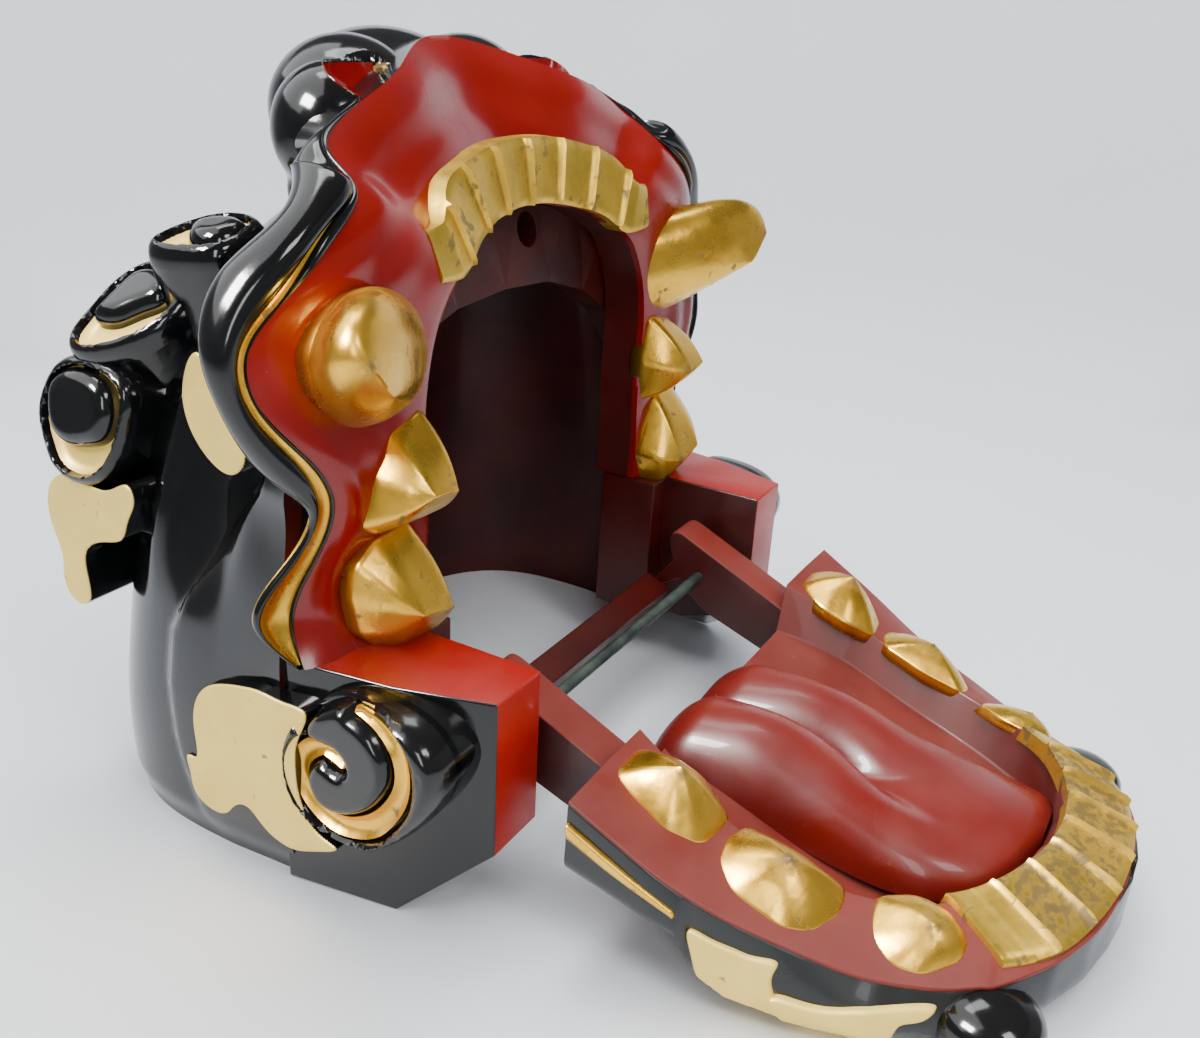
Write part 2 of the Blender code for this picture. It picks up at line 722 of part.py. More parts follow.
def make_cheek_blocks():
    top = [
        Vector((BLOCK_INNER, BLOCK_FRONT, BLOCK_TOP)),
        Vector((BLOCK_INNER, BLOCK_STEP_Y, BLOCK_TOP)),
        Vector((BLOCK_STEP, BLOCK_STEP_Y, BLOCK_TOP)),
        Vector((BLOCK_STEP, BLOCK_BACK, BLOCK_TOP)),
        Vector((BLOCK_BACK_X, BLOCK_BACK, BLOCK_TOP)),
        Vector((BLOCK_FLARE, BLOCK_FOOT_Y + BLOCK_FLARE_RUN, BLOCK_TOP)),
        Vector((BLOCK_OUTER, BLOCK_FRONT, BLOCK_TOP)),
    ]
    middle = [Vector((p.x, p.y, BLOCK_CHAMFER_Z)) for p in top]
    foot = [Vector((p.x, max(p.y, BLOCK_FOOT_Y), 0.0)) for p in top]
    foot[-1].x = BLOCK_FLARE
    foot[-2].y += BLOCK_FLARE_RUN
    block = loft("cheek_block_left", [mirrored(ring) for ring in (foot, middle, top)], RED, ROOT)
    hole = add_cutter_cylinder(
        "rod_socket", (-BLOCK_INNER, 0.0, PIVOT_Z), (1, 0, 0), ROD_HOLE_RADIUS, SOCKET_LENGTH
    )
    apply_boolean(block, hole, "DIFFERENCE")
    add_mirror_image(settle(block), RED)


# Teeth

# How blunt a pyramid's tip is, and where its shoulder lies and how far it stands out.
TIP_BLUNTNESS = 0.04
SHOULDER_SHARE = 0.45
SHOULDER_RISE = 0.002


def spike_rings(base, ridge, depth, normal):
    """Pyramid tooth: base outline sunk by the depth, and a chisel ridge of two points."""
    sunk = [point - normal * depth for point in base]
    tip = []
    for point in base:
        nearest = min(ridge, key=lambda end: (end - point).length)
        tip.append(nearest.lerp(point, TIP_BLUNTNESS))
    rise = normal * SHOULDER_RISE
    shoulder = [point.lerp(end, SHOULDER_SHARE) + rise for point, end in zip(base, tip)]
    return [sunk, base, shoulder, tip]


def oval_base(centre, along, across, half_long, half_wide, count=8):
    points = []
    for i in range(count):
        angle = 2 * pi * (i + 0.5) / count
        points.append(centre + along * half_long * cos(angle) + across * half_wide * sin(angle))
    return points


# Fang: centre of its base, its tip, and the base's two radii.
FANG = ((0.150, 0.062, 0.272), (0.1955, 0.019, 0.284), 0.042, 0.031)
FANG_SIDES = 10
FANG_TAPER = ((0.0, 1.0), (0.3, 0.84), (0.6, 0.62), (0.85, 0.38), (1.0, 0.16))
UPPER_RIDGE = (0.016, 0.004, 0.004)
UPPER_MOLARS = (
    # centre, tip, half_long, half_wide
    ((0.128, 0.060, 0.212), (0.1245, 0.031, 0.2075), 0.030, 0.024),
    ((0.136, 0.060, 0.150), (0.1285, 0.033, 0.1455), 0.030, 0.030),
)


def make_upper_teeth():
    out = Vector((0, -1, 0))
    along = Vector((1, 0, 0))
    across = Vector((0, 0, 1))
    centre, tip, half_long, half_wide = FANG
    centre = Vector(centre)
    base = oval_base(centre, along, across, half_long, half_wide, FANG_SIDES)
    rings = [[p - out * SEAT for p in base]]
    for share, scale in FANG_TAPER:
        rings.append([centre.lerp(Vector(tip), share) + (p - centre) * scale for p in base])
    make_pair("fang", rings, GOLD, ROOT)
    for number, (centre, tip, half_long, half_wide) in enumerate(UPPER_MOLARS, start=1):
        ridge = [Vector(tip), Vector(tip) + Vector(UPPER_RIDGE)]
        base = oval_base(Vector(centre), along, across, half_long, half_wide)
        make_pair("upper_molar_%d" % number, spike_rings(base, ridge, SEAT, out), GOLD, ROOT)


# Strips of front teeth

STRIP_TEETH = 8
# Half width of a divider as a share of the strip, and how far it stands up.
DIVIDER_HALF_SHARE = 0.010
DIVIDER_TOP_SHARE = 0.006
DIVIDER_RISE = 0.0018


def divided(row, teeth):
    """Repeat places along a row so that a narrow raised divider stands between teeth."""
    last = len(row) - 1
    places = [(0.0, 0.0)]
    for i in range(1, teeth):
        middle = i / teeth
        places += [
            (middle - DIVIDER_HALF_SHARE, 0.0), (middle - DIVIDER_TOP_SHARE, 1.0),
            (middle + DIVIDER_TOP_SHARE, 1.0), (middle + DIVIDER_HALF_SHARE, 0.0),
        ]
    places.append((1.0, 0.0))
    result = []
    for share, raised in places:
        place = share * last
        i = min(int(place), last - 1)
        part = place - i
        result.append((row[i][0].lerp(row[i + 1][0], part),
                       row[i][1].lerp(row[i + 1][1], part), raised))
    return result


def strip_piece(name, row, thickness, up, parent):
    rings = []
    for inner, outer, raised in divided(row, STRIP_TEETH):
        rise = up * (thickness + DIVIDER_RISE * raised)
        rings.append([inner - up * SEAT, outer - up * SEAT, outer + rise, inner + rise])
    settle(loft(name, rings, GOLD, parent, 30))


UPPER_STRIP_THICKNESS = 0.007
UPPER_STRIP_ROWS = (
    # inner x, y, z, outer x, y, z
    (0.0857, 0.062, 0.2945, 0.1045, 0.066, 0.3215),
    (0.066, 0.069, 0.3055, 0.083, 0.0745, 0.3365),
    (0.045, 0.076, 0.3135, 0.058, 0.081, 0.3465),
    (0.023, 0.080, 0.3180, 0.030, 0.0845, 0.3520),
    (0.000, 0.0815, 0.3195, 0.000, 0.0855, 0.3534),
)


def make_upper_strip():
    right = [(Vector(row[:3]), Vector(row[3:])) for row in UPPER_STRIP_ROWS]
    left = [(Vector((-a.x, a.y, a.z)), Vector((-b.x, b.y, b.z))) for a, b in right]
    strip_piece(
        "upper_incisors", right + left[-2::-1], UPPER_STRIP_THICKNESS, Vector((0, -1, 0)), ROOT
    )


# Jaw

def ring_at(y, points):
    """Closed symmetric section at a place along Y from its right half, top to bottom."""
    right = [Vector((x, y, z)) for x, z in points]
    left = [Vector((-x, y, z)) for x, z in reversed(points)]
    return right + left


def table_at(table, y):
    """Row of a table of sections at a place along Y, between its rows."""
    for first, second in zip(table, table[1:]):
        if second[0] <= y <= first[0]:
            share = (y - first[0]) / (second[0] - first[0])
            return [a + (b - a) * share for a, b in zip(first, second)]
    return list(table[0] if y > table[0][0] else table[-1])


def rim_point(x, y, lift=0.0):
    """Point on the top of the jaw's rim."""
    outer_x, outer_z, inner_x, inner_z = table_at(JAW_SECTIONS, y)[1:5]
    share = (abs(x) - inner_x) / (outer_x - inner_x)
    return Vector((x, y, inner_z + (outer_z - inner_z) * share + lift))


def make_jaw_tray():
    rings = []
    for y, outer_x, outer_z, inner_x, inner_z, floor_z, under_z in JAW_SECTIONS:
        inset = min(LIP_WALL, TRAY_EDGE_SHARE * outer_x)
        rings.append(ring_at(y, [
            (inner_x - tray_foot(inner_x), floor_z),
            (inner_x, inner_z),
            (outer_x, outer_z),
            (outer_x, outer_z - RIM_EDGE),
            (outer_x - inset, outer_z - RIM_EDGE),
            (outer_x - TRAY_FOOT_EDGES * inset, under_z),
        ]))
    settle(loft("jaw_tray", rings, JAW_RED, JAW, 40))


def tray_foot(inner_x):
    """How far the tray's inner wall leans in towards its floor."""
    return min(TRAY_LEAN, TRAY_LEAN_SHARE * inner_x)


def make_lower_lip():
    """Black outer wall and chin: a trough that the tray sits in."""
    rings = []
    for y, top_x, waist_x, bottom_x, bottom_z in LIP_SECTIONS:
        outer_z, inner_x, _, floor_z, under_z = table_at(JAW_SECTIONS, y)[2:]
        top_z = outer_z - 0.5 * RIM_EDGE
        waist_z = bottom_z + (top_z - bottom_z) * LIP_WAIST
        rings.append(ring_at(y, [
            (inner_x - tray_foot(inner_x), 0.5 * (floor_z + under_z)),
            (inner_x + TROUGH_LAP, top_z),
            (top_x, top_z), (waist_x, waist_z), (bottom_x, bottom_z),
        ]))
    settle(loft("lower_lip", rings, BLACK, JAW, 40))


TONGUE_SECTIONS = (
    # y, top z, half width, groove depth, thickness
    (-0.0430, 0.0800, 0.034, 0.004, 0.014),
    (-0.0500, 0.0860, 0.058, 0.010, 0.026),
    (-0.0640, 0.0900, 0.074, 0.014, 0.034),
    (-0.0900, 0.0880, 0.080, 0.015, 0.038),
    (-0.1200, 0.0780, 0.078, 0.012, 0.036),
    (-0.1500, 0.0640, 0.070, 0.008, 0.030),
    (-0.1800, 0.0560, 0.064, 0.005, 0.026),
    (-0.2100, 0.0540, 0.056, 0.003, 0.020),
    (-0.2280, 0.0540, 0.040, 0.001, 0.014),
    (-0.2360, 0.0530, 0.020, 0.000, 0.008),
)
TONGUE_SIDES = 14
GROOVE_SHARE = 0.42


def make_tongue():
    """Two-lobed tongue: sections from its root to its free tip."""
    rings = []
    for y, top_z, half_width, groove, thickness in TONGUE_SECTIONS:
        ring = []
        for i in range(TONGUE_SIDES):
            angle = 2 * pi * i / TONGUE_SIDES
            x = half_width * cos(angle)
            z = top_z + thickness * 0.5 * (sin(angle) - 1.0)
            if sin(angle) > 0:
                z -= groove * max(0.0, 1.0 - abs(x) / (GROOVE_SHARE * half_width)) ** 1.5
            ring.append(Vector((x, y, z)))
        rings.append(ring)
    settle(loft("tongue", rings, JAW_RED, JAW, 50))


LOWER_MOLARS = (
    # x, y, half_long, half_wide, tip x, tip y, tip z
    (0.1190, -0.0910, 0.0270, 0.0240, 0.1190, -0.0970, 0.0990),
    (0.1175, -0.1490, 0.0270, 0.0230, 0.1180, -0.1520, 0.0700),
    (0.1045, -0.2090, 0.0220, 0.0180, 0.1040, -0.2160, 0.0535),
)


# How far a tooth's ridge runs outward and drops from its tip.
LOWER_RIDGE = (0.014, 0.002)


def make_lower_molars():
    for number, row in enumerate(LOWER_MOLARS, start=1):
        x, y, half_long, half_wide = row[:4]
        middle = rim_point(x, y)
        along = rim_point(x, y - half_long) - middle
        along.x = 0.0
        along.normalize()
        wide = (rim_point(x + half_wide, y) - middle).normalized()
        up = wide.cross(along).normalized()
        up = up if up.z > 0 else -up
        tip = Vector(row[4:])
        ridge = [tip, tip + wide * LOWER_RIDGE[0] - up * LOWER_RIDGE[1]]
        base = oval_base(middle, along, wide, half_long, half_wide)
        make_pair("lower_molar_%d" % number, spike_rings(base, ridge, SEAT, up), GOLD, JAW)


LOWER_STRIP_THICKNESS = 0.0055
LOWER_STRIP_UP = (0.0, -0.25, 1.0)
LOWER_STRIP_ROWS = (
    # inner x, y, z, outer x, y, z of the rim under the strip
    (0.0830, -0.2130, 0.0510, 0.0960, -0.2455, 0.0365),
    (0.0680, -0.2280, 0.0535, 0.0790, -0.2640, 0.0390),
    (0.0460, -0.2400, 0.0555, 0.0560, -0.2755, 0.0420),
    (0.0230, -0.2475, 0.0565, 0.0285, -0.2825, 0.0450),
    (0.0000, -0.2495, 0.0562, 0.0000, -0.2845, 0.0465),
)


def make_lower_strip():
    right = [(Vector(row[:3]), Vector(row[3:])) for row in LOWER_STRIP_ROWS]
    left = [(Vector((-a.x, a.y, a.z)), Vector((-b.x, b.y, b.z))) for a, b in right]
    up = Vector(LOWER_STRIP_UP).normalized()
    strip_piece("lower_incisors", right + left[-2::-1], LOWER_STRIP_THICKNESS, up, JAW)


def arm_profile():
    """Side profile of an arm in the YZ plane about the pivot, from its round end forward."""
    along = Vector((-cos(ARM_SLOPE), -sin(ARM_SLOPE)))
    across = Vector((sin(ARM_SLOPE), cos(ARM_SLOPE)))
    points = [across * ARM_END_RADIUS + along * ARM_TOP_REACH]
    for i in range(ARM_END_STEPS + 1):
        angle = pi * i / ARM_END_STEPS
        points.append(
            along * (-ARM_END_RADIUS * sin(angle)) + across * (ARM_END_RADIUS * cos(angle))
        )
        if i == ARM_HEEL_STEP:
            points[-1] = Vector(ARM_HEEL)
    points.append(across * (ARM_END_RADIUS - ARM_HEIGHT) + along * ARM_LOW_REACH)
    return points


def make_jaw_arms():
    rings = [
        mirrored([Vector((x, p.x, p.y)) for p in arm_profile()]) for x in (ARM_INNER, ARM_OUTER)
    ]
    arm = loft("jaw_arm_left", rings, JAW_RED, HINGE)
    middle = 0.5 * (ARM_INNER + ARM_OUTER)
    hole = add_cutter_cylinder(
        "arm_hole", (-middle, 0.0, PIVOT_Z), (1, 0, 0), ROD_HOLE_RADIUS, ARM_HEIGHT
    )
    apply_boolean(arm, hole, "DIFFERENCE")
    add_mirror_image(settle(arm), JAW_RED)


def make_jaw_handle():
    """Slat between the arms, let into their inner faces."""
    bm = bmesh.new()
    bmesh.ops.create_cube(bm, size=1.0)
    y, z = HANDLE_CENTRE
    bm.transform(
        Matrix.Translation((0, y, z - PIVOT_Z)) @ Matrix.Rotation(HANDLE_TURN, 4, "X")
        @ Matrix.Diagonal((2 * (ARM_INNER + GAP), HANDLE_SIZE[0], HANDLE_SIZE[1], 1.0))
    )
    settle(finish_mesh("jaw_handle", bm, JAW_RED, HINGE))


def make_pivot_rod():
    bm = bmesh.new()
    bmesh.ops.create_cone(
        bm, cap_ends=True, segments=16, radius1=ROD_RADIUS, radius2=ROD_RADIUS,
        depth=2 * ROD_HALF_LENGTH,
    )
    bm.transform(Matrix.Translation((0, 0, PIVOT_Z)) @ Matrix.Rotation(pi / 2, 4, "Y"))
    settle(finish_mesh("pivot_rod", bm, METAL, ROOT))


LIP_BAR_PATH = (
    # y, half_width, low, high
    (-0.060, 0.1640, 0.0690, 0.0810),
    (-0.085, 0.1625, 0.0580, 0.0680),
    (-0.113, 0.1595, 0.0475, 0.0540),
)
BAR_RISE = 0.004


def make_lip_bars():
    """Gold bars laid in the outer wall behind the step."""
    rings = []
    for y, half, low, high in LIP_BAR_PATH:
        rings.append([
            Vector((half - SEAT, y, low)), Vector((half + BAR_RISE, y, low)),
            Vector((half + BAR_RISE, y, high)), Vector((half - SEAT, y, high)),
        ])
    make_pair("lip_bar", rings, GOLD, JAW)


JAW_LEAF_PATH = (
    # y, half_width, low, high
    (-0.122, 0.1565, 0.0200, 0.0360),
    (-0.140, 0.1560, 0.0090, 0.0330),
    (-0.158, 0.1530, 0.0050, 0.0270),
    (-0.175, 0.1485, 0.0040, 0.0210),
    (-0.195, 0.1430, 0.0050, 0.0170),
    (-0.212, 0.1360, 0.0090, 0.0140),
)
LEAF_THICKNESS = 0.003
LEAF_ROOT = 0.022
LEAF_HEM = 0.010


def make_jaw_leaves():
    rings = []
    for y, half, low, high in JAW_LEAF_PATH:
        inner = half - LEAF_ROOT
        outer = half + LEAF_THICKNESS
        rings.append([
            Vector((inner, y, low)), Vector((half - LEAF_HEM, y, low)),
            Vector((outer, y, 0.5 * (low + high))), Vector((outer, y, high)),
            Vector((inner, y, high)),
        ])
    make_pair("jaw_leaf", rings, GOLD, JAW)


CHIN_CURL_CENTRE = (0.1075, -0.2455, 0.0166)
CHIN_CURL_RADII = (0.024, 0.026, 0.0163)
CHIN_CURL_SIDES = (14, 8)


def make_chin_curls():
    x, y, z = CHIN_CURL_CENTRE
    bm = bmesh.new()
    add_ellipsoid(bm, (-x, y, z), CHIN_CURL_RADII, *CHIN_CURL_SIDES)
    add_mirror_image(settle(finish_mesh("chin_curl_left", bm, BLACK, JAW)), BLACK)


def make_head():
    make_mouth_rim()
    make_palate()
    make_head_shell()
    make_cheek_blocks()
    make_lip_bands()
    make_lip_grooves()
    make_nose()
    make_brow_curls()
    make_leaves("brow_leaf", BROW_LEAF_OUTLINE, BROW_LEAF_FACE, BROW_LEAF_BACK)
    make_leaves("cheek_leaf", CHEEK_LEAF_OUTLINE, CHEEK_LEAF_FACE, CHEEK_LEAF_BACK)
    make_cheek_curls()
    make_side_crescents()
    make_upper_teeth()
    make_upper_strip()
    make_pivot_rod()


def make_jaw():
    make_jaw_tray()
    make_lower_lip()
    make_jaw_arms()
    make_jaw_handle()
    make_tongue()
    make_lower_molars()
    make_lower_strip()
    make_lip_bars()
    make_chin_curls()
    make_jaw_leaves()


# The middle of the whole length, from the chin to the back of the shell.
CENTRE_Y = -0.5 * (LIP_SECTIONS[-1][0] + SHELL_SECTIONS[1][2])

clear_scene()
SEATS = []
HEAD = make_collection("lion_dance_head")
CUTTERS = make_collection("cutters")
ROOT = make_empty("head_frame", (0.0, CENTRE_Y, 0.0))
HINGE = make_empty("jaw_hinge", (0.0, 0.0, PIVOT_Z), ROOT)
JAW = make_empty("jaw_frame", (0.0, 0.0, -PIVOT_Z), HINGE)
make_head()
make_jaw()
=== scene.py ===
"""Looks of the lion dance head: carved lacquer, worn gold leaf, camera and soft studio light."""

from math import cos, pi, radians, sin

import bmesh
import bpy
import numpy as np
from mathutils import Matrix, Vector
from mathutils.bvhtree import BVHTree
from mathutils.geometry import delaunay_2d_cdt


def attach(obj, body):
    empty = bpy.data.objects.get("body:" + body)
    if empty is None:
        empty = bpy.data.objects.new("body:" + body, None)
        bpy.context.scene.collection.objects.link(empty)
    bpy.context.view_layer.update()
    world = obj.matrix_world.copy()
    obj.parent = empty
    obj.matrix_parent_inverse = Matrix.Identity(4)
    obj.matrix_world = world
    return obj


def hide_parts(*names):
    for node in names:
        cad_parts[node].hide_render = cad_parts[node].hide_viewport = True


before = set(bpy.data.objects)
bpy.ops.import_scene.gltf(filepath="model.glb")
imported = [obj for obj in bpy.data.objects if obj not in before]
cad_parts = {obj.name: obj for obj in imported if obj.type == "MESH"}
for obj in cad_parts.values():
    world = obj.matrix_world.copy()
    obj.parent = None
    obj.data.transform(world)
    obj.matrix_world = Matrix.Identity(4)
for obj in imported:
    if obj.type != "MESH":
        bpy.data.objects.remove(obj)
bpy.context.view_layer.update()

# Tables measure Y from the pivot rod; every mesh is then moved by this.
CENTRE_Y = 0.01175
PIVOT_Z = 0.0826


# Materials

def add_node(tree, kind, **sockets):
    node = tree.nodes.new(kind)
    for name, value in sockets.items():
        node.inputs[name.replace("_", " ")].default_value = value
    return node


def noise(tree, coords, scale, detail=3.0, distortion=0.0):
    node = add_node(tree, "ShaderNodeTexNoise", Scale=scale, Detail=detail, Distortion=distortion)
    tree.links.new(coords.outputs["Object"], node.inputs["Vector"])
    return node.outputs["Fac"]


def ramp(tree, value, low, high, out_low=0.0, out_high=1.0):
    node = add_node(tree, "ShaderNodeMapRange")
    node.inputs["From Min"].default_value = low
    node.inputs["From Max"].default_value = high
    node.inputs["To Min"].default_value = out_low
    node.inputs["To Max"].default_value = out_high
    tree.links.new(value, node.inputs["Value"])
    return node.outputs["Result"]


def mix(tree, factor, first, second):
    """Colour mix; each colour is a tuple or a socket."""
    node = tree.nodes.new("ShaderNodeMix")
    node.data_type = "RGBA"
    tree.links.new(factor, node.inputs["Factor"])
    for name, value in (("A", first), ("B", second)):
        socket = [item for item in node.inputs if item.name == name and item.type == "RGBA"][0]
        if isinstance(value, tuple):
            socket.default_value = (*value, 1.0)
        else:
            tree.links.new(value, socket)
    return [item for item in node.outputs if item.type == "RGBA"][0]


def math_node(tree, operation, first, second):
    node = tree.nodes.new("ShaderNodeMath")
    node.operation = operation
    for index, value in enumerate((first, second)):
        if isinstance(value, (int, float)):
            node.inputs[index].default_value = value
        else:
            tree.links.new(value, node.inputs[index])
    return node.outputs["Value"]


def attribute(tree, name):
    node = tree.nodes.new("ShaderNodeAttribute")
    node.attribute_name = name
    return node.outputs["Fac"]


def start_material(name):
    material = bpy.data.materials.new(name)
    material.use_nodes = True
    tree = material.node_tree
    coords = tree.nodes.new("ShaderNodeTexCoord")
    return material, tree, coords, tree.nodes["Principled BSDF"]


def add_bump(tree, coords, shader, layers):
    """Stacked bumps: each layer is a noise scale, its depth in metres and its detail."""
    normal = None
    for scale, depth, detail in layers:
        bump = tree.nodes.new("ShaderNodeBump")
        bump.inputs["Distance"].default_value = depth
        bump.inputs["Strength"].default_value = 1.0
        tree.links.new(noise(tree, coords, scale, detail), bump.inputs["Height"])
        if normal is not None:
            tree.links.new(normal, bump.inputs["Normal"])
        normal = bump.outputs["Normal"]
    tree.links.new(normal, shader.inputs["Normal"])


def upward(tree):
    """How far the surface faces up, from 0 to 1."""
    geometry = tree.nodes.new("ShaderNodeNewGeometry")
    split = tree.nodes.new("ShaderNodeSeparateXYZ")
    tree.links.new(geometry.outputs["Normal"], split.inputs["Vector"])
    return ramp(tree, split.outputs["Z"], 0.0, 1.0)


def lacquer(name, colour, deep, rough, dust, coat, dust_colour=(0.20, 0.15, 0.12)):
    """Hand-polished lacquer: colour that pools deeper, faint waves, and dust on top faces."""
    material, tree, coords, shader = start_material(name)
    pooled = mix(tree, ramp(tree, noise(tree, coords, 14.0, 4.0), 0.35, 0.7), colour, deep)
    dusty = math_node(tree, "MULTIPLY", upward(tree),
                      ramp(tree, noise(tree, coords, 38.0, 6.0), 0.35, 0.75, 0.35 * dust, dust))
    grime = math_node(tree, "MULTIPLY", attribute(tree, "grime"),
                      ramp(tree, noise(tree, coords, 160.0, 5.0), 0.3, 0.6))
    soiled = mix(tree, dusty, pooled, dust_colour)
    tree.links.new(mix(tree, grime, soiled, (0.015, 0.008, 0.006)), shader.inputs["Base Color"])
    smears = ramp(tree, noise(tree, coords, 21.0, 5.0, 0.6), 0.3, 0.75, rough, rough * 2.2 + 0.02)
    dull = math_node(tree, "MULTIPLY", dusty, 0.6)
    tree.links.new(math_node(tree, "ADD", smears, dull), shader.inputs["Roughness"])
    shader.inputs["IOR"].default_value = 1.42
    shader.inputs["Coat Weight"].default_value = coat
    shader.inputs["Coat Roughness"].default_value = 0.04
    add_bump(tree, coords, shader, ((11.0, 0.0009, 1.0), (420.0, 0.00002, 2.0)))
    return material


def gold_leaf(name, colour, pale, metallic, rough, wear, crease):
    """Gold leaf on lacquered wood: cloudy tone, rubbed spots, dark grime where it gathers."""
    material, tree, coords, shader = start_material(name)
    cloudy = mix(tree, ramp(tree, noise(tree, coords, 32.0, 5.0), 0.3, 0.72), colour, pale)
    spots = ramp(tree, noise(tree, coords, 95.0, 8.0, 0.4), 0.64 - wear, 0.70 - wear)
    specks = ramp(tree, noise(tree, coords, 420.0, 4.0), 0.70 - 0.4 * wear, 0.76 - 0.4 * wear)
    gathered = math_node(tree, "MULTIPLY", attribute(tree, "grime"),
                         ramp(tree, noise(tree, coords, 210.0, 6.0), 0.36, 0.56))
    bare = math_node(tree, "MAXIMUM", math_node(tree, "MULTIPLY", spots, 0.75),
                     math_node(tree, "MAXIMUM", math_node(tree, "MULTIPLY", specks, 0.6), gathered))
    under = mix(tree, ramp(tree, noise(tree, coords, 60.0, 3.0), 0.3, 0.7),
                (0.085, 0.050, 0.016), (0.036, 0.022, 0.010))
    tree.links.new(mix(tree, bare, cloudy, under), shader.inputs["Base Color"])
    tree.links.new(ramp(tree, bare, 0.0, 1.0, metallic, 0.1), shader.inputs["Metallic"])
    grain = ramp(tree, noise(tree, coords, 55.0, 6.0), 0.3, 0.7, rough, rough + 0.14)
    tree.links.new(math_node(tree, "ADD", grain, math_node(tree, "MULTIPLY", bare, 0.2)),
                   shader.inputs["Roughness"])
    add_bump(tree, coords, shader, ((34.0, 0.0009 * crease, 3.0), (260.0, 0.00010 * crease, 5.0),
                                    (1500.0, 0.00001, 2.0)))
    return material


def nostril_paint(material, red, gold):
    """Paints the nostrils, marked by the grime attribute, red with gold at their inner ends."""
    tree = material.node_tree
    shader = tree.nodes["Principled BSDF"]
    inside = ramp(tree, attribute(tree, "grime"), 0.49, 0.51)
    split = tree.nodes.new("ShaderNodeSeparateXYZ")
    tree.links.new(tree.nodes["Texture Coordinate"].outputs["Object"], split.inputs["Vector"])
    across = math_node(tree, "ABSOLUTE", split.outputs["X"], 0.0)
    inner_end = math_node(tree, "LESS_THAN", across, NOSTRIL_GOLD_X)
    golden = math_node(tree, "MULTIPLY", inside, inner_end)
    black = shader.inputs["Base Color"].links[0].from_socket
    tree.links.new(mix(tree, golden, mix(tree, inside, black, red), gold), shader.inputs["Base Color"])
    tree.links.new(math_node(tree, "MULTIPLY", golden, 0.6), shader.inputs["Metallic"])


def old_metal(name):
    material, tree, coords, shader = start_material(name)
    tone = mix(tree, ramp(tree, noise(tree, coords, 60.0, 6.0), 0.35, 0.65),
               (0.030, 0.042, 0.038), (0.085, 0.110, 0.090))
    tree.links.new(tone, shader.inputs["Base Color"])
    shader.inputs["Metallic"].default_value = 0.55
    tree.links.new(ramp(tree, noise(tree, coords, 90.0, 5.0), 0.3, 0.7, 0.38, 0.65),
                   shader.inputs["Roughness"])
    add_bump(tree, coords, shader, ((300.0, 0.00008, 4.0),))
    return material


# Where the gold at the nostrils' inner ends stops.
NOSTRIL_GOLD_X = 0.0575
BLACK = lacquer("black_lacquer", (0.0035, 0.0042, 0.0048), (0.002, 0.0022, 0.0026), 0.07, 0.04, 0.12)
NOSE_BLACK = lacquer("nose_lacquer", (0.0035, 0.0042, 0.0048), (0.002, 0.0022, 0.0026), 0.07, 0.04,
                     0.12)
nostril_paint(NOSE_BLACK, (0.26, 0.004, 0.002), (0.62, 0.40, 0.14))
DUSTY_BLACK = lacquer("dusty_black", (0.010, 0.012, 0.012), (0.006, 0.007, 0.007), 0.18, 0.20, 0.1,
                      (0.075, 0.070, 0.060))
RED = lacquer("red_lacquer", (0.205, 0.0042, 0.0022), (0.155, 0.0028, 0.0018), 0.13, 0.02, 0.06,
              (0.33, 0.05, 0.035))
# A lighter, more orange copy of the red lacquer for the cheek blocks: painted light, standing for the
# light that falls on their tops.
RED_WITH_PAINTED_LIGHT = lacquer("red_lacquer_with_painted_light", (0.36, 0.0065, 0.002), (0.27, 0.004, 0.0015), 0.24, 0.02,
                     0.1, (0.45, 0.09, 0.05))
JAW_RED = lacquer("jaw_red_lacquer", (0.180, 0.0090, 0.0040), (0.125, 0.005, 0.0025), 0.34, 0.30, 0.05,
                  (0.21, 0.060, 0.034))
TONGUE_RED = lacquer("tongue_red", (0.190, 0.0080, 0.0045), (0.145, 0.005, 0.003), 0.20, 0.14, 0.15,
                     (0.28, 0.085, 0.055))
# Dark inner red: the hood's lining and the palate have their own dark red, darkened further here as
# painted shade; the same colour is painted shade on the rim's return, the cheek blocks' inner faces,
# the jaw arms' sides and the handle.
INNER_RED_AND_PAINTED_SHADE = lacquer("inner_red_and_painted_shade", (0.060, 0.003, 0.0015), (0.022, 0.0012, 0.001), 0.30, 0.05, 0.1,
                    (0.075, 0.012, 0.009))
GOLD = gold_leaf("gold_leaf", (0.80, 0.47, 0.050), (0.64, 0.34, 0.032), 0.92, 0.23, 0.0, 1.0)
OLD_GOLD = gold_leaf("old_gold_leaf", (0.74, 0.46, 0.050), (0.52, 0.33, 0.034), 0.85, 0.30, 0.05,
                     1.0)
FLAT_GOLD = gold_leaf("flat_gold_leaf", (0.93, 0.67, 0.15), (0.84, 0.58, 0.11), 0.25, 0.46, -0.03,
                      0.3)
ROD = old_metal("old_metal")


# Curves and meshes

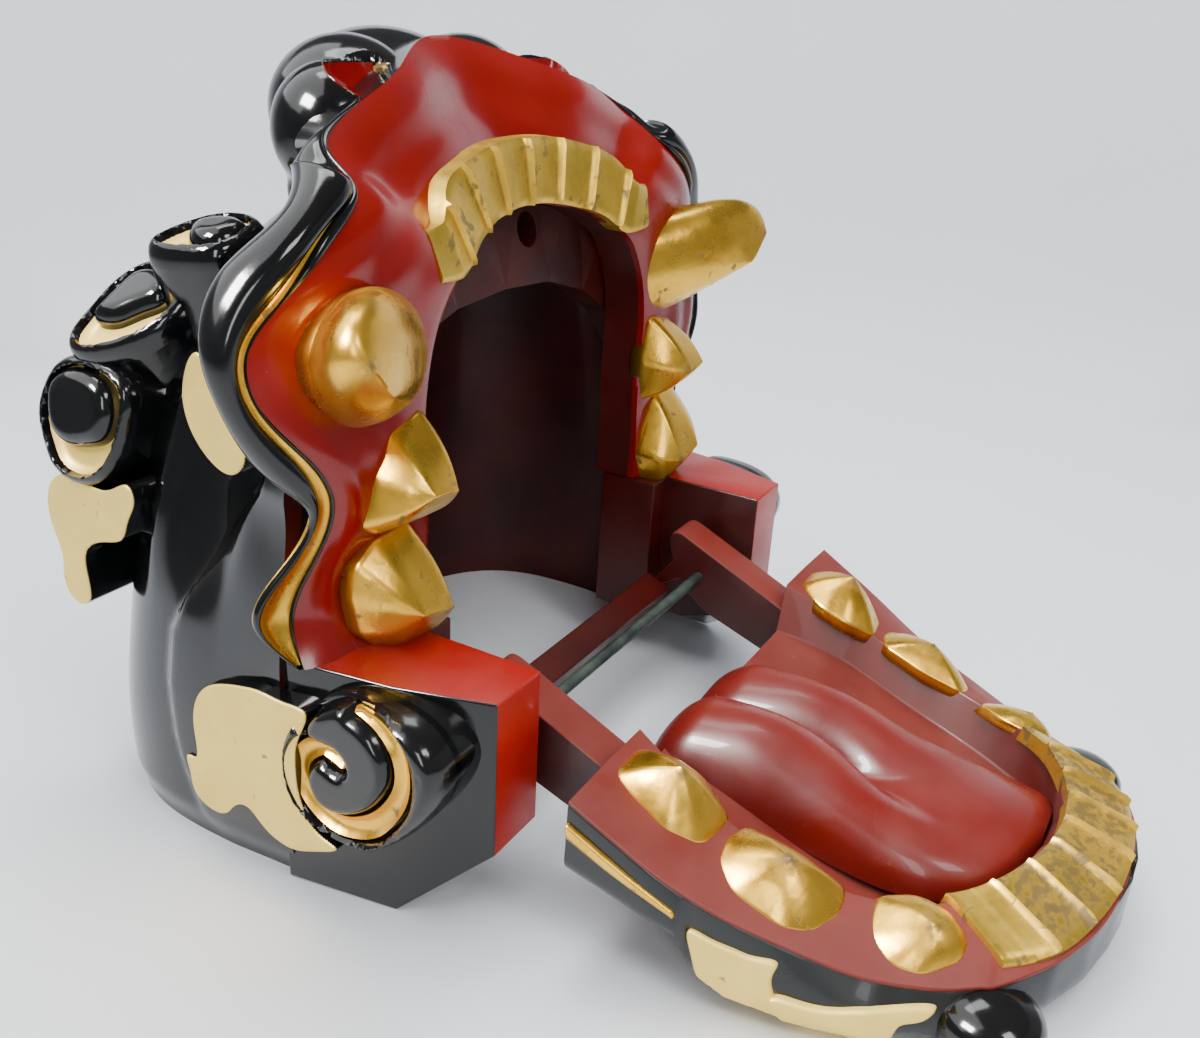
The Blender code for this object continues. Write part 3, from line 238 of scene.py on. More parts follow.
def spline(table, count, closed=False):
    """Points evenly spaced along the natural spline through the rows of a table."""
    rows = np.array(table, float)
    shape = rows.shape
    rows = rows.reshape(shape[0], -1)
    pad = 3 if closed else 0
    if closed:
        rows = np.vstack([rows[-pad:], rows, rows[:pad + 1]])
    steps = np.maximum(np.linalg.norm(np.diff(rows, axis=0), axis=1), 1e-6)
    place = np.concatenate([[0.0], np.cumsum(steps)])
    last = len(rows) - 1
    system = np.eye(last + 1)
    bends = np.zeros_like(rows)
    for i in range(1, last):
        system[i, i - 1:i + 2] = steps[i - 1], 2.0 * (steps[i - 1] + steps[i]), steps[i]
        bends[i] = 6.0 * ((rows[i + 1] - rows[i]) / steps[i] - (rows[i] - rows[i - 1]) / steps[i - 1])
    bends = np.linalg.solve(system, bends)
    end = place[pad + shape[0]] if closed else place[-1]
    where = np.linspace(place[pad], end, count, endpoint=not closed)
    i = np.clip(np.searchsorted(place, where, "right") - 1, 0, last - 1)
    a = ((place[i + 1] - where) / steps[i])[:, None]
    b = 1.0 - a
    found = a * rows[i] + b * rows[i + 1]
    found += ((a ** 3 - a) * bends[i] + (b ** 3 - b) * bends[i + 1]) * steps[i][:, None] ** 2 / 6.0
    return found.reshape((count,) + shape[1:])


def step(value, low, high):
    """Smooth step from 0 at low to 1 at high."""
    share = np.clip((value - low) / (high - low), 0.0, 1.0)
    return share * share * (3.0 - 2.0 * share)


def unit(vectors):
    return vectors / np.maximum(np.linalg.norm(vectors, axis=-1, keepdims=True), 1e-12)


def rounded(ring, radius, steps=3):
    """Closed ring with each corner replaced by a short curve."""
    out = []
    for i, corner in enumerate(ring):
        before = ring[i - 1] - corner
        after = ring[(i + 1) % len(ring)] - corner
        size = min(radius, 0.45 * np.linalg.norm(before), 0.45 * np.linalg.norm(after))
        start = corner + unit(before) * size
        end = corner + unit(after) * size
        for share in np.linspace(0.0, 1.0, steps + 1):
            out.append((1 - share) ** 2 * start + 2 * share * (1 - share) * corner
                       + share ** 2 * end)
    return np.array(out)


def grid_faces(rows, columns, wrap=False, start=0):
    """Quads over a grid of vertices; wrap joins the last column to the first."""
    faces = []
    for i in range(rows - 1):
        for j in range(columns if wrap else columns - 1):
            k = (j + 1) % columns
            faces.append((start + i * columns + j, start + i * columns + k,
                          start + (i + 1) * columns + k, start + (i + 1) * columns + j))
    return faces


def tube(sections, caps=(True, True)):
    """Vertices and faces of a closed body from closed sections of one count."""
    sections = np.asarray(sections, float)
    rows, columns = sections.shape[:2]
    faces = grid_faces(rows, columns, wrap=True)
    for wanted, row in zip(caps, (0, rows - 1)):
        if wanted:
            faces.append(tuple(range(row * columns, (row + 1) * columns)))
    return sections.reshape(-1, 3), faces


def blunt(sections, start=0.0, end=0.0, steps=6):
    """Close a row of sections with rounded ends of these lengths."""
    sections = [np.asarray(ring, float) for ring in sections]
    rows = list(sections)
    for length, ring, beside, first in ((start, sections[0], sections[1], True),
                                        (end, sections[-1], sections[-2], False)):
        if not length:
            continue
        centre = ring.mean(axis=0)
        away = unit(centre - beside.mean(axis=0))
        extra = []
        for angle in np.linspace(0.0, 0.46 * pi, steps + 1)[1:]:
            extra.append(centre + (ring - centre) * cos(angle) + away * length * sin(angle))
        rows = extra[::-1] + rows if first else rows + extra
    return rows


def join(*bodies):
    """One shape from several; a third item of a body is its list of material indices."""
    verts, faces, indices = [], [], []
    for body in bodies:
        start = sum(len(part) for part in verts)
        verts.append(np.asarray(body[0], float))
        faces += [tuple(start + index for index in face) for face in body[1]]
        indices += list(body[2]) if len(body) > 2 else [0] * len(body[1])
    return np.vstack(verts), faces, indices


def painted(body, index):
    """The same shape with all its faces in one of the piece's materials."""
    return body[0], body[1], [index] * len(body[1])


def distance_to(ring, points):
    """Distance of each point to a closed outline."""
    run = np.roll(ring, -1, axis=0) - ring
    size = np.maximum((run ** 2).sum(axis=1), 1e-18)
    apart = points[:, None, :] - ring[None]
    share = np.clip((apart * run[None]).sum(axis=2) / size[None], 0.0, 1.0)
    return np.linalg.norm(apart - share[..., None] * run[None], axis=2).min(axis=1)


def relief(ring, profile, spacing=0.0016, root=-0.012):
    """Solid over a closed outline, its height given by the distance from the outline."""
    ring = np.asarray(ring, float)
    along = unit(np.roll(ring, -1, axis=0) - np.roll(ring, 1, axis=0))
    ahead = np.roll(ring, -1, axis=0)
    turn = np.sign((ring[:, 0] * ahead[:, 1] - ahead[:, 0] * ring[:, 1]).sum())
    inward = np.stack([-along[:, 1], along[:, 0]], axis=1) * turn
    points = [ring]
    for offset in (0.0003, 0.0009, 0.0018):
        moved = ring + inward * offset
        points.append(moved[distance_to(ring, moved) > 0.93 * offset])
    low, high = ring.min(axis=0), ring.max(axis=0)
    across = np.arange(low[0], high[0], spacing)
    grid = np.array([(a + (0.5 * spacing if k % 2 else 0.0), b)
                     for k, b in enumerate(np.arange(low[1], high[1], 0.87 * spacing))
                     for a in across])
    points.append(grid[distance_to(ring, grid) > 0.0025])
    coords = [Vector(point) for point in np.vstack(points)]
    found = delaunay_2d_cdt(coords, [], [list(range(len(ring)))], 1, 1e-8)
    flat = np.array([tuple(vert) for vert in found[0]])
    top = np.column_stack([flat, profile(distance_to(ring, flat))])
    upper = np.column_stack([ring, profile(np.zeros(len(ring)))])
    lower = np.column_stack([ring, np.full(len(ring), root)])
    skirt = (np.vstack([upper, lower]),
             grid_faces(2, len(ring), wrap=True) + [tuple(range(len(ring), 2 * len(ring)))])
    return join((top, [tuple(face) for face in found[2]]), skirt)[:2]


def roll(height, radius):
    """Rounded profile that rises from the outline and stays level beyond the radius."""
    def profile(distance):
        return height * np.sqrt(1.0 - (1.0 - np.clip(distance / radius, 0.0, 1.0)) ** 2)
    return profile


def ridge(height, radius, fall, after):
    """Rounded profile that falls again beyond the radius."""
    def profile(distance):
        return roll(height, radius)(distance) - fall * step(distance, radius, radius + after)
    return profile


def dish(height, depth, width):
    """Hollow profile from an edge at this height."""
    def profile(distance):
        return height - depth * np.sin(0.5 * pi * np.clip(distance / width, 0.0, 1.0))
    return profile


def placed(body, centre, right, up, normal):
    """Put a shape drawn in a plane into space."""
    local = np.asarray(body[0], float)
    axes = np.array([right, up, normal], float)
    return (local @ axes + np.array(centre, float),) + tuple(body[1:])


def side_plane(body, x):
    """Put a shape drawn in Y and Z on the right side of the head, facing +X."""
    return placed(body, (x, 0, 0), (0, 1, 0), (0, 0, 1), (1, 0, 0))


def add_piece(name, body, shape, material, nodes=(), extra=(), pick=None, sharp=None, grime=None,
              bevel=None):
    """Make a piece from a shape, give it materials, and let it ride on a body."""
    verts = np.array(shape[0], float)
    mesh = bpy.data.meshes.new(name)
    mesh.from_pydata([tuple(vert) for vert in verts + (0.0, CENTRE_Y, 0.0)], [], shape[1])
    if len(shape) > 2:
        mesh.polygons.foreach_set("material_index", shape[2])
    if grime is not None:
        layer = mesh.attributes.new("grime", "FLOAT", "POINT")
        layer.data.foreach_set("value", np.asarray(grime, np.float32))
    bm = bmesh.new()
    bm.from_mesh(mesh)
    bmesh.ops.remove_doubles(bm, verts=bm.verts, dist=1e-6)
    bmesh.ops.recalc_face_normals(bm, faces=bm.faces)
    if bevel:
        hard = [edge for edge in bm.edges if edge.calc_face_angle(0.0) > radians(bevel[1])]
        bmesh.ops.bevel(bm, geom=hard, offset=bevel[0], segments=bevel[2], profile=0.5,
                        affect="EDGES", clamp_overlap=True)
    bm.to_mesh(mesh)
    bm.free()
    mesh.shade_smooth()
    if sharp:
        mesh.set_sharp_from_angle(angle=radians(sharp))
    for item in (material,) + tuple(extra):
        mesh.materials.append(item)
    if pick is not None:
        for face in mesh.polygons:
            face.material_index = pick(face.center - Vector((0, CENTRE_Y, 0)), face.normal)
    piece = bpy.data.objects.new(name, mesh)
    bpy.context.scene.collection.objects.link(piece)
    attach(piece, body)
    if nodes:
        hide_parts(*nodes)
    return piece


def add_pair(name, body, shape, material, nodes=None, **more):
    """A piece drawn for the right side, and its mirror image on the left."""
    for side, word in ((1, "right"), (-1, "left")):
        turned = (np.array(shape[0], float) * (side, 1, 1),) + tuple(shape[1:])
        own = ["%s_%s" % (node, word) for node in ([name] if nodes is None else nodes)]
        add_piece("look_%s_%s" % (name, word), body, turned, material, own, **more)


# Mouth rim

RIM_STATIONS = (
    # outer x, outer y, outer z, inner x, inner y, inner z
    (0.1925, 0.070, 0.1295, 0.112, 0.062, 0.1305),
    (0.188, 0.080, 0.148, 0.112, 0.061, 0.150),
    (0.180, 0.070, 0.183, 0.110, 0.061, 0.180),
    (0.177, 0.062, 0.210, 0.110, 0.061, 0.205),
    (0.190, 0.065, 0.236, 0.111, 0.061, 0.225),
    (0.206, 0.076, 0.262, 0.111, 0.061, 0.242),
    (0.207, 0.0785, 0.280, 0.108, 0.061, 0.258),
    (0.190, 0.073, 0.302, 0.100, 0.0615, 0.277),
    (0.163, 0.068, 0.326, 0.0857, 0.062, 0.2938),
    (0.142, 0.075, 0.343, 0.073, 0.066, 0.301),
    (0.137, 0.0945, 0.357, 0.058, 0.072, 0.309),
    (0.105, 0.102, 0.374, 0.040, 0.077, 0.314),
    (0.062, 0.114, 0.387, 0.022, 0.080, 0.317),
    (0.000, 0.138, 0.400, 0.000, 0.082, 0.319),
)


# Columns of the rim's section that turn back into the mouth, in the dark inner red that paints the
# shade there, and those behind it in black.
RIM_RETURN = {26: 1, 27: 1, 28: 2, 29: 2}


def mirrored_table(table):
    """Rows from one side over the middle to the other; X columns are every third one."""
    rows = np.array(table, float)
    signs = np.array([-1.0 if i % 3 == 0 else 1.0 for i in range(rows.shape[1])])
    return np.vstack([rows, (rows * signs)[-2::-1]])


def make_rim():
    lines = spline(mirrored_table(RIM_STATIONS), 320)
    sections = []
    for row in lines:
        outer, inner = row[:3], row[3:]
        ring = []
        for share in np.linspace(0.0, 1.0, 26):
            point = outer + (inner - outer) * share
            bow = 0.0052 * sin(pi * share) ** 0.55 + 0.0016 * sin(3 * pi * share) ** 2 * (1 - share)
            ring.append(point - (0.0, bow, 0.0))
        ring.append(inner + (0.0, 0.004, 0.0))
        ring.append(inner + (0.0, 0.028, 0.0))
        ring.append(outer * 0.94 + inner * 0.06 + (0.0, 0.024, 0.0))
        ring.append(outer * 0.985 + inner * 0.015 + (0.0, 0.004, 0.0))
        sections.append(ring)
    shape = tube(sections)
    columns = len(sections[0])
    parts = [RIM_RETURN.get(i % columns, 0) if i < columns * (len(sections) - 1) else 0
             for i in range(len(shape[1]))]
    add_piece("look_mouth_rim", "head", shape + (parts,), RED, ["mouth_rim"],
              extra=(INNER_RED_AND_PAINTED_SHADE, BLACK), sharp=60)


# Lip bands and the gold line beside the rim

BAND_PROFILE = (
    # outward, depth
    (-0.004, 0.004),
    (0.003, -0.003),
    (0.009, -0.001),
    (0.013, 0.006),
    (0.0135, 0.014),
    (0.011, 0.021),
    (0.004, 0.027),
    (-0.016, 0.029),
    (-0.014, 0.014),
)
# Fullness of the roll, width of the black edge beside the rim, and width of the gold groove.
BAND_ROWS = (
    # fullness, edge, groove
    (0.10, 0.0000, 0.0010),
    (0.14, 0.0012, 0.0178),
    (0.14, 0.0012, 0.0115),
    (0.20, 0.0014, 0.0078),
    (0.69, 0.0014, 0.0046),
    (0.52, 0.0006, 0.0040),
    (0.65, 0.0004, 0.0044),
    (1.02, 0.0006, 0.0046),
    (0.80, 0.0052, 0.0014),
    (1.10, 0.0022, 0.0000),
    (0.26, 0.0020, 0.0000),
    (0.08, 0.0000, 0.0000),
)
# The table's shares are scaled down so that they don't bend the line's spacing.
BAND_SCALE = 0.02
EDGE_HEIGHT = 0.0022
GROOVE_END = 0.0004


def lip_line(count):
    """Rim's outer line on the right: points, outward normals, fullness, edge and groove width."""
    rows = np.hstack([np.array(RIM_STATIONS)[:12, :3], np.array(BAND_ROWS) * BAND_SCALE])
    fine = spline(rows, count)
    points = fine[:, :3]
    along = np.gradient(points, axis=0)
    along[:, 1] = 0.0
    along = unit(along)
    normals = np.stack([along[:, 2], np.zeros(count), -along[:, 0]], axis=1)
    fullness, edges, widths = np.maximum(fine[:, 3:] / BAND_SCALE, 0.0).T
    return points, normals, fullness, edges, widths


def make_lip_bands():
    """The roll outside the gold groove, and the thin black edge between the groove and the rim."""
    profile = spline(BAND_PROFILE, 40, closed=True)
    rolls, edges = [], []
    for point, normal, full, edge, width in zip(*lip_line(170)):
        full = max(full, 0.03)
        rolls.append([point + normal * (outward * full + edge + width)
                      + (0.0, depth * full + 0.001, 0.0) for outward, depth in profile])
        edge = max(edge, 0.0003)
        height = EDGE_HEIGHT * min(1.0, edge / 0.003)
        ring = [point + normal * edge * 0.5 * (1.0 - cos(angle)) - (0.0, height * sin(angle), 0.0)
                for angle in np.linspace(0.0, pi, 12)]
        ring.append(point + normal * edge + (0.0, 0.005, 0.0))
        ring.append(point + (0.0, 0.005, 0.0))
        edges.append(ring)
    add_pair("lip_band", "head", join(tube(rolls), tube(edges)), BLACK)


def make_lip_grooves():
    points, normals, _, edges, widths = lip_line(170)
    last = int(np.argmax((widths < GROOVE_END) & (np.arange(len(widths)) > 60)))
    sections = []
    for point, normal, edge, width in list(zip(points, normals, edges, widths))[1:last]:
        ring = []
        for share in np.linspace(-0.12, 1.0, 12):
            dip = 0.22 * width * sin(pi * np.clip(share, 0.0, 1.0))
            ring.append(point + normal * (edge + width * share) + (0.0, 0.0012 + dip, 0.0))
        ring.append(point + normal * (edge + width) + (0.0, 0.006, 0.0))
        ring.append(point + normal * (edge - 0.12 * width) + (0.0, 0.006, 0.0))
        sections.append(ring)
    add_pair("lip_groove", "head", tube(sections), GOLD, sharp=50)


# Head shell

SHELL_SECTIONS = (
    # z, half_width, back, front_half_width, front
    (0.000, 0.193, 0.262, 0.190, 0.085),
    (0.050, 0.1935, 0.264, 0.191, 0.085),
    (0.100, 0.188, 0.260, 0.190, 0.085),
    (0.150, 0.180, 0.254, 0.186, 0.085),
    (0.200, 0.170, 0.246, 0.178, 0.085),
    (0.240, 0.158, 0.236, 0.188, 0.085),
    (0.270, 0.143, 0.222, 0.190, 0.088),
    (0.295, 0.125, 0.203, 0.172, 0.092),
    (0.315, 0.100, 0.186, 0.140, 0.100),
    (0.330, 0.065, 0.168, 0.100, 0.108),
)
SHELL_MIDDLE_Y = 0.130
SHELL_COLLAR_Y = 0.104
SHELL_SQUARENESS = 3.2
# Where the full cheek in front meets the valley behind it.
CHEEK_EDGE = (
    # z, y
    (0.000, 0.140),
    (0.030, 0.150),
    (0.060, 0.160),
    (0.090, 0.166),
    (0.118, 0.165),
    (0.140, 0.155),
    (0.175, 0.133),
    (0.205, 0.110),
    (0.230, 0.098),
    (0.335, 0.090),
)


def shell_half_ring(half_width, back, front_half_width, front, count):
    """Right half of a hood section, from its front corner to the middle of the back."""
    collar = 0.6 * front_half_width + 0.4 * half_width
    collar_y = max(SHELL_COLLAR_Y, front + 0.012)
    power = 2.0 / SHELL_SQUARENESS
    corner = np.array([[front_half_width, front], [collar, collar_y]])
    angles = np.linspace(0.0, pi / 2, 41)
    curve = np.stack([half_width * np.cos(angles).clip(0) ** power,
                      SHELL_MIDDLE_Y + (back - SHELL_MIDDLE_Y) * np.sin(angles) ** power], axis=1)
    path = np.vstack([corner, curve])
    place = np.concatenate([[0.0], np.cumsum(np.linalg.norm(np.diff(path, axis=0), axis=1))])
    where = np.linspace(0.0, place[-1], count)
    return np.stack([np.interp(where, place, path[:, axis]) for axis in (0, 1)], axis=1)


def shell_grid(levels, inset, count):
    """Points of the right half of the hood at each level, drawn in by an inset."""
    table = np.array(SHELL_SECTIONS)
    rows = spline(table, 400)
    grid = []
    for z in levels:
        row = [np.interp(z, rows[:, 0], rows[:, k]) for k in range(1, 5)]
        half = shell_half_ring(row[0] - inset, row[1] - inset, row[2] - inset, row[3], count)
        grid.append(np.column_stack([half, np.full(count, z)]))
    return np.array(grid)


def sculpt_shell(grid):
    """Full cheek in front, a valley with soft folds behind it, and a turned-in foot."""
    x, y, z = grid[..., 0], grid[..., 1], grid[..., 2]
    edge = np.interp(z, [row[0] for row in CHEEK_EDGE], [row[1] for row in CHEEK_EDGE])
    cheek = step(edge - y, -0.004, 0.004) * step(z, 0.0, 0.05) * (1 - step(z, 0.205, 0.225))
    swell = 0.0045 * cheek * (1.0 + 0.4 * np.sin(pi * np.clip((edge - y) / 0.07, 0, 1)))
    valley = np.exp(-((y - 0.150) / 0.022) ** 2) * step(z, 0.125, 0.19) * (1 - step(z, 0.27, 0.32))
    fold = np.exp(-((y - 0.178 + 0.15 * (z - 0.2)) / 0.008) ** 2) * step(z, 0.12, 0.18)
    turn = 0.004 * (1 - step(z, 0.0, 0.02))
    outward = np.stack([np.ones_like(x), np.zeros_like(x), np.zeros_like(x)], axis=-1)
    amount = swell - 0.013 * valley + 0.004 * fold - turn
    return grid + outward * (amount * step(x, 0.02, 0.12))[..., None]


def make_shell():
    count = 90
    levels = np.linspace(0.0, 0.330, 130)
    outer = sculpt_shell(shell_grid(levels, 0.0, count))
    inner = shell_grid(np.append(levels[levels < 0.306], 0.310), 0.015, count)
    low = len(inner) - 1
    bodies = []
    for side in (1, -1):
        skin, lining = outer * (side, 1, 1), inner * (side, 1, 1)
        roof = [skin[-1] + ((0.0, 0.140, 0.336) - skin[-1]) * share
                + (0, 0, 0.004 * sin(pi * share / 2)) for share in np.linspace(0.0, 1.0, 8)[1:]]
        ceiling = [lining[-1] + ((0.0, 0.130, 0.312) - lining[-1]) * share
                   for share in np.linspace(0.0, 1.0, 6)[1:]]
        whole = np.concatenate([skin, roof])
        inside = np.concatenate([lining, ceiling])
        foot = np.array([skin[0], lining[0]])
        front = np.array([skin[:low, 0], lining[:low, 0]])
        # The lining and the front edge take the dark inner red: their own dark red, darkened as
        # painted shade.
        for sheet, index in ((whole, 0), (inside, 1), (foot, 0), (front, 1)):
            faces = grid_faces(*sheet.shape[:2])
            bodies.append(painted((sheet.reshape(-1, 3), faces), index))
    add_piece("look_head_shell", "head", join(*bodies), BLACK, ["head_shell"],
              extra=(INNER_RED_AND_PAINTED_SHADE,), sharp=70)


def dress_node(name, material):
    """Keep a CAD node's own shape, and give it a better material."""
    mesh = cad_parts[name].data
    mesh.materials.clear()
    mesh.materials.append(material)


# Nose

NOSE_FORMS = (
    # x, y, z, radii
    ((0.000, 0.176, 0.361), (0.050, 0.058, 0.042)),
    ((0.087, 0.135, 0.3575), (0.030, 0.030, 0.0325)),
    ((-0.087, 0.135, 0.3575), (0.030, 0.030, 0.0325)),
    ((0.050, 0.158, 0.363), (0.040, 0.040, 0.0375)),
    ((-0.050, 0.158, 0.363), (0.040, 0.040, 0.0375)),
    ((0.088, 0.143, 0.328), (0.016, 0.018, 0.018)),
    ((-0.088, 0.143, 0.328), (0.016, 0.018, 0.018)),
    ((0.000, 0.150, 0.350), (0.085, 0.030, 0.030)),
)
NOSTRIL_FORM = ((0.0755, 0.121, 0.3885), (0.0260, 0.0180, 0.0300))


def ball(centre, radii, rows=24):
    """Ellipsoid as a shape."""
    sections = []
    for angle in np.linspace(0.02, pi - 0.02, rows):
        turn = np.linspace(0.0, 2 * pi, 2 * rows, endpoint=False)
        sections.append(np.column_stack([np.cos(turn) * sin(angle), np.sin(turn) * sin(angle),
                                         np.full(2 * rows, cos(angle))]))
    verts, faces = tube(sections)
    return verts * radii + centre, faces


def modified(shape, settings):
    """Vertices and faces of a shape after modifiers, given as kind and settings."""
    mesh = bpy.data.meshes.new("draft")
    mesh.from_pydata([tuple(vert) for vert in shape[0]], [], shape[1])
    draft = bpy.data.objects.new("draft", mesh)
    bpy.context.scene.collection.objects.link(draft)
    for kind, values in settings:
        modifier = draft.modifiers.new(kind.lower(), kind)
        for key, value in values.items():
            setattr(modifier, key, value)
    bpy.context.view_layer.update()
    made = draft.evaluated_get(bpy.context.evaluated_depsgraph_get()).to_mesh()
    verts = np.array([tuple(vert.co) for vert in made.vertices])
    faces = [tuple(face.vertices) for face in made.polygons]
    bpy.data.objects.remove(draft)
    bpy.data.meshes.remove(mesh)
    return verts, faces


def melted(forms, voxel=0.0016, smooth=30):
    """Ellipsoids joined into one smooth form."""
    return modified(join(*[ball(*form) for form in forms]), (
        ("REMESH", {"mode": "VOXEL", "voxel_size": voxel}),
        ("SMOOTH", {"factor": 0.6, "iterations": smooth}),
    ))


def make_nose():
    verts, faces = melted(NOSE_FORMS)
    for side in (1, -1):
        centre, radii = np.array(NOSTRIL_FORM[0]) * (side, 1, 1), np.array(NOSTRIL_FORM[1])
        apart = (verts - centre) / radii
        far = np.linalg.norm(apart, axis=1, keepdims=True)
        pushed = centre + apart / np.maximum(far, 1e-6) * radii
        pushed[:, 2] = np.minimum(pushed[:, 2], 2 * centre[2] - pushed[:, 2])
        verts = np.where(far < 1.0, pushed, verts)
    apart = (np.abs(verts) * (1, 0, 0) + verts * (0, 1, 1) - NOSTRIL_FORM[0]) / NOSTRIL_FORM[1]
    edge = np.maximum(np.linalg.norm(apart, axis=1) - 1.02, apart[:, 2] + 0.03)
    add_piece("look_nose", "head", (verts, faces), NOSE_BLACK, ["nose"],
              grime=np.clip(0.5 - 6.0 * edge, 0.0, 1.0))


# Curls

BROW_CURLS = (
    # centre, normal, up, lift, outer outline, boss outline; drawn on the left side
    ((-0.122, 0.186, 0.300), (-0.25, 0.05, 0.97), (-0.97, 0.0, -0.25), 0.010,
     ((0.0118, 0.0231), (0.0136, 0.0146), (0.0114, 0.0026), (0.0030, -0.0110), (-0.0129, -0.0146),
      (-0.0257, -0.0083), (-0.0292, 0.0022), (-0.0300, 0.0130), (-0.0250, 0.0215),
      (-0.0120, 0.0260), (0.0022, 0.0270)),
     ((-0.0012, 0.0138), (0.0043, 0.0015), (-0.0039, -0.0074), (-0.0195, -0.0086),
      (-0.0262, -0.0035), (-0.0270, 0.0070), (-0.0220, 0.0150), (-0.0110, 0.0185))),
    ((-0.146, 0.227, 0.262), (-0.62, 0.05, 0.78), (0.0, 1.0, 0.0), 0.010,
     ((-0.0278, 0.0039), (-0.0196, 0.0088), (-0.0100, 0.0085), (0.0145, 0.0045),
      (0.0275, -0.0086), (0.0270, -0.0269), (0.0210, -0.0398), (0.0080, -0.0440),
      (-0.0048, -0.0415), (-0.0164, -0.0326), (-0.0251, -0.0195), (-0.0294, -0.0057)),
     ((-0.0112, 0.0036), (-0.0019, 0.0038), (0.0103, 0.0011), (0.0220, -0.0049),
      (0.0250, -0.0137), (0.0216, -0.0249), (0.0115, -0.0345), (0.0044, -0.0328),
      (-0.0029, -0.0236), (-0.0103, -0.0143), (-0.0131, -0.0049))),
    ((-0.172, 0.230, 0.206), (-0.97, -0.05, 0.20), (0.0, 0.0, 1.0), 0.010,
     ((-0.0199, 0.0187), (-0.0225, 0.0073), (-0.0185, -0.0065), (-0.0115, -0.0179),
      (0.0039, -0.0229), (0.0183, -0.0179), (0.0276, -0.0060), (0.0320, 0.0091),
      (0.0315, 0.0282), (0.0200, 0.0350), (0.0040, 0.0365), (-0.0120, 0.0310)),
     ((-0.0164, 0.0247), (-0.0069, 0.0321), (0.0076, 0.0335), (0.0199, 0.0295),
      (0.0258, 0.0201), (0.0257, 0.0078), (0.0208, -0.0012), (0.0102, -0.0061),
      (-0.0021, -0.0077), (-0.0137, -0.0019), (-0.0181, 0.0100))),
)


def grown(ring, amount):
    """Closed outline moved outward."""
    along = unit(np.roll(ring, -1, axis=0) - np.roll(ring, 1, axis=0))
    ahead = np.roll(ring, -1, axis=0)
    turn = np.sign((ring[:, 0] * ahead[:, 1] - ahead[:, 0] * ring[:, 1]).sum())
    return ring + np.stack([along[:, 1], -along[:, 0]], axis=1) * turn * amount


# How far a form on the hood sinks into its wall.
SEAT_DEPTH = 0.006
# How far above its lowest vertices a form starts to look for the wall.
ROOT_CAST = 0.060


def seated(shape, direction, shell):
    """Let the lowest vertices of a form stop just inside the hood's wall, along a direction."""
    verts = np.array(shape[0], float)
    direction = Vector(direction)
    depth = verts @ np.array(direction)
    for k in np.nonzero(depth > depth.max() - 0.001)[0]:
        start = Vector(verts[k]) - direction * ROOT_CAST
        hit, _, _, _ = shell.ray_cast(start, direction, ROOT_CAST)
        if hit is not None:
            verts[k] = hit + direction * SEAT_DEPTH
    return (verts,) + tuple(shape[1:])


def make_brow_curls():
    for number, (centre, normal, up, lift, outer, boss) in enumerate(BROW_CURLS, start=1):
        normal = unit(np.array(normal))
        up = unit(np.array(up) - normal * np.dot(up, normal))
        right = np.cross(up, normal)
        outer, boss = spline(outer, 110, closed=True), spline(boss, 90, closed=True)
        collar = relief(grown(outer, 0.0046), ridge(0.0118, 0.0056, 0.012, 0.003), root=-0.044)
        collar = placed(collar, np.array(centre) + normal * (lift - 0.010), right, up, normal)
        collar = seated(((collar[0] * (-1, 1, 1)), collar[1]), normal * (1, -1, -1), HOOD)
        hollow = relief(outer, dish(0.0012, 0.0055, 0.007), root=-0.016)
        middle = relief(boss, roll(0.0105, 0.0085), root=-0.014)
        hollow = (hollow[0] + (0.0, 0.0, 0.0090), hollow[1])
        middle = (middle[0] + (0.0, 0.0, 0.0045), middle[1])
        verts, faces, indices = placed(join(painted(hollow, 1), middle),
                                       np.array(centre) + normal * (lift - 0.010),
                                       right, up, normal)
        shape = join(collar, (verts * (-1, 1, 1), faces, indices))
        add_pair("brow_curl_%d" % number, "head", shape, BLACK, extra=(FLAT_GOLD,), sharp=60)


CURL_OUTLINE = (
    # y, z from the top down the front, under the curl and up its back
    (0.0450, 0.1270), (0.0387, 0.1282), (0.0241, 0.1285), (0.0080, 0.1262), (-0.0062, 0.1190),
    (-0.0138, 0.1060), (-0.0108, 0.0897), (-0.0015, 0.0736), (0.0146, 0.0555), (0.0300, 0.0455),
    (0.0432, 0.0438), (0.0569, 0.0446), (0.0706, 0.0506), (0.0806, 0.0645), (0.0826, 0.0828),
    (0.0762, 0.1010), (0.0650, 0.1140), (0.0550, 0.1225),
)
CURL_GOLD_OUTER = (
    (0.0338, 0.1262), (0.0214, 0.1240), (0.0118, 0.1176), (0.0060, 0.1090), (0.0040, 0.0970),
    (0.0062, 0.0832), (0.0136, 0.0693), (0.0235, 0.0578), (0.0336, 0.0522), (0.0455, 0.0496),
    (0.0574, 0.0517), (0.0674, 0.0586), (0.0737, 0.0688), (0.0750, 0.0809), (0.0714, 0.0901),
    (0.0615, 0.0986), (0.0532, 0.0980),
)
CURL_GOLD_INNER = (
    (0.0349, 0.1225), (0.0272, 0.1195), (0.0185, 0.1125), (0.0136, 0.1040), (0.0131, 0.0919),
    (0.0181, 0.0808), (0.0256, 0.0714), (0.0357, 0.0644), (0.0476, 0.0612), (0.0577, 0.0641),
    (0.0633, 0.0713), (0.0645, 0.0802), (0.0607, 0.0872), (0.0545, 0.0920),
)
CURL_HOOK = ((0.0532, 0.0980), (0.0485, 0.0985), (0.0432, 0.0963), (0.0412, 0.0925),
             (0.0427, 0.0888), (0.0475, 0.0897), (0.0545, 0.0920))
CURL_BOSS_TOP = ((0.0615, 0.0986), (0.0640, 0.1050), (0.0587, 0.1150), (0.0483, 0.1225),
                 (0.0385, 0.1250), (0.0349, 0.1225))


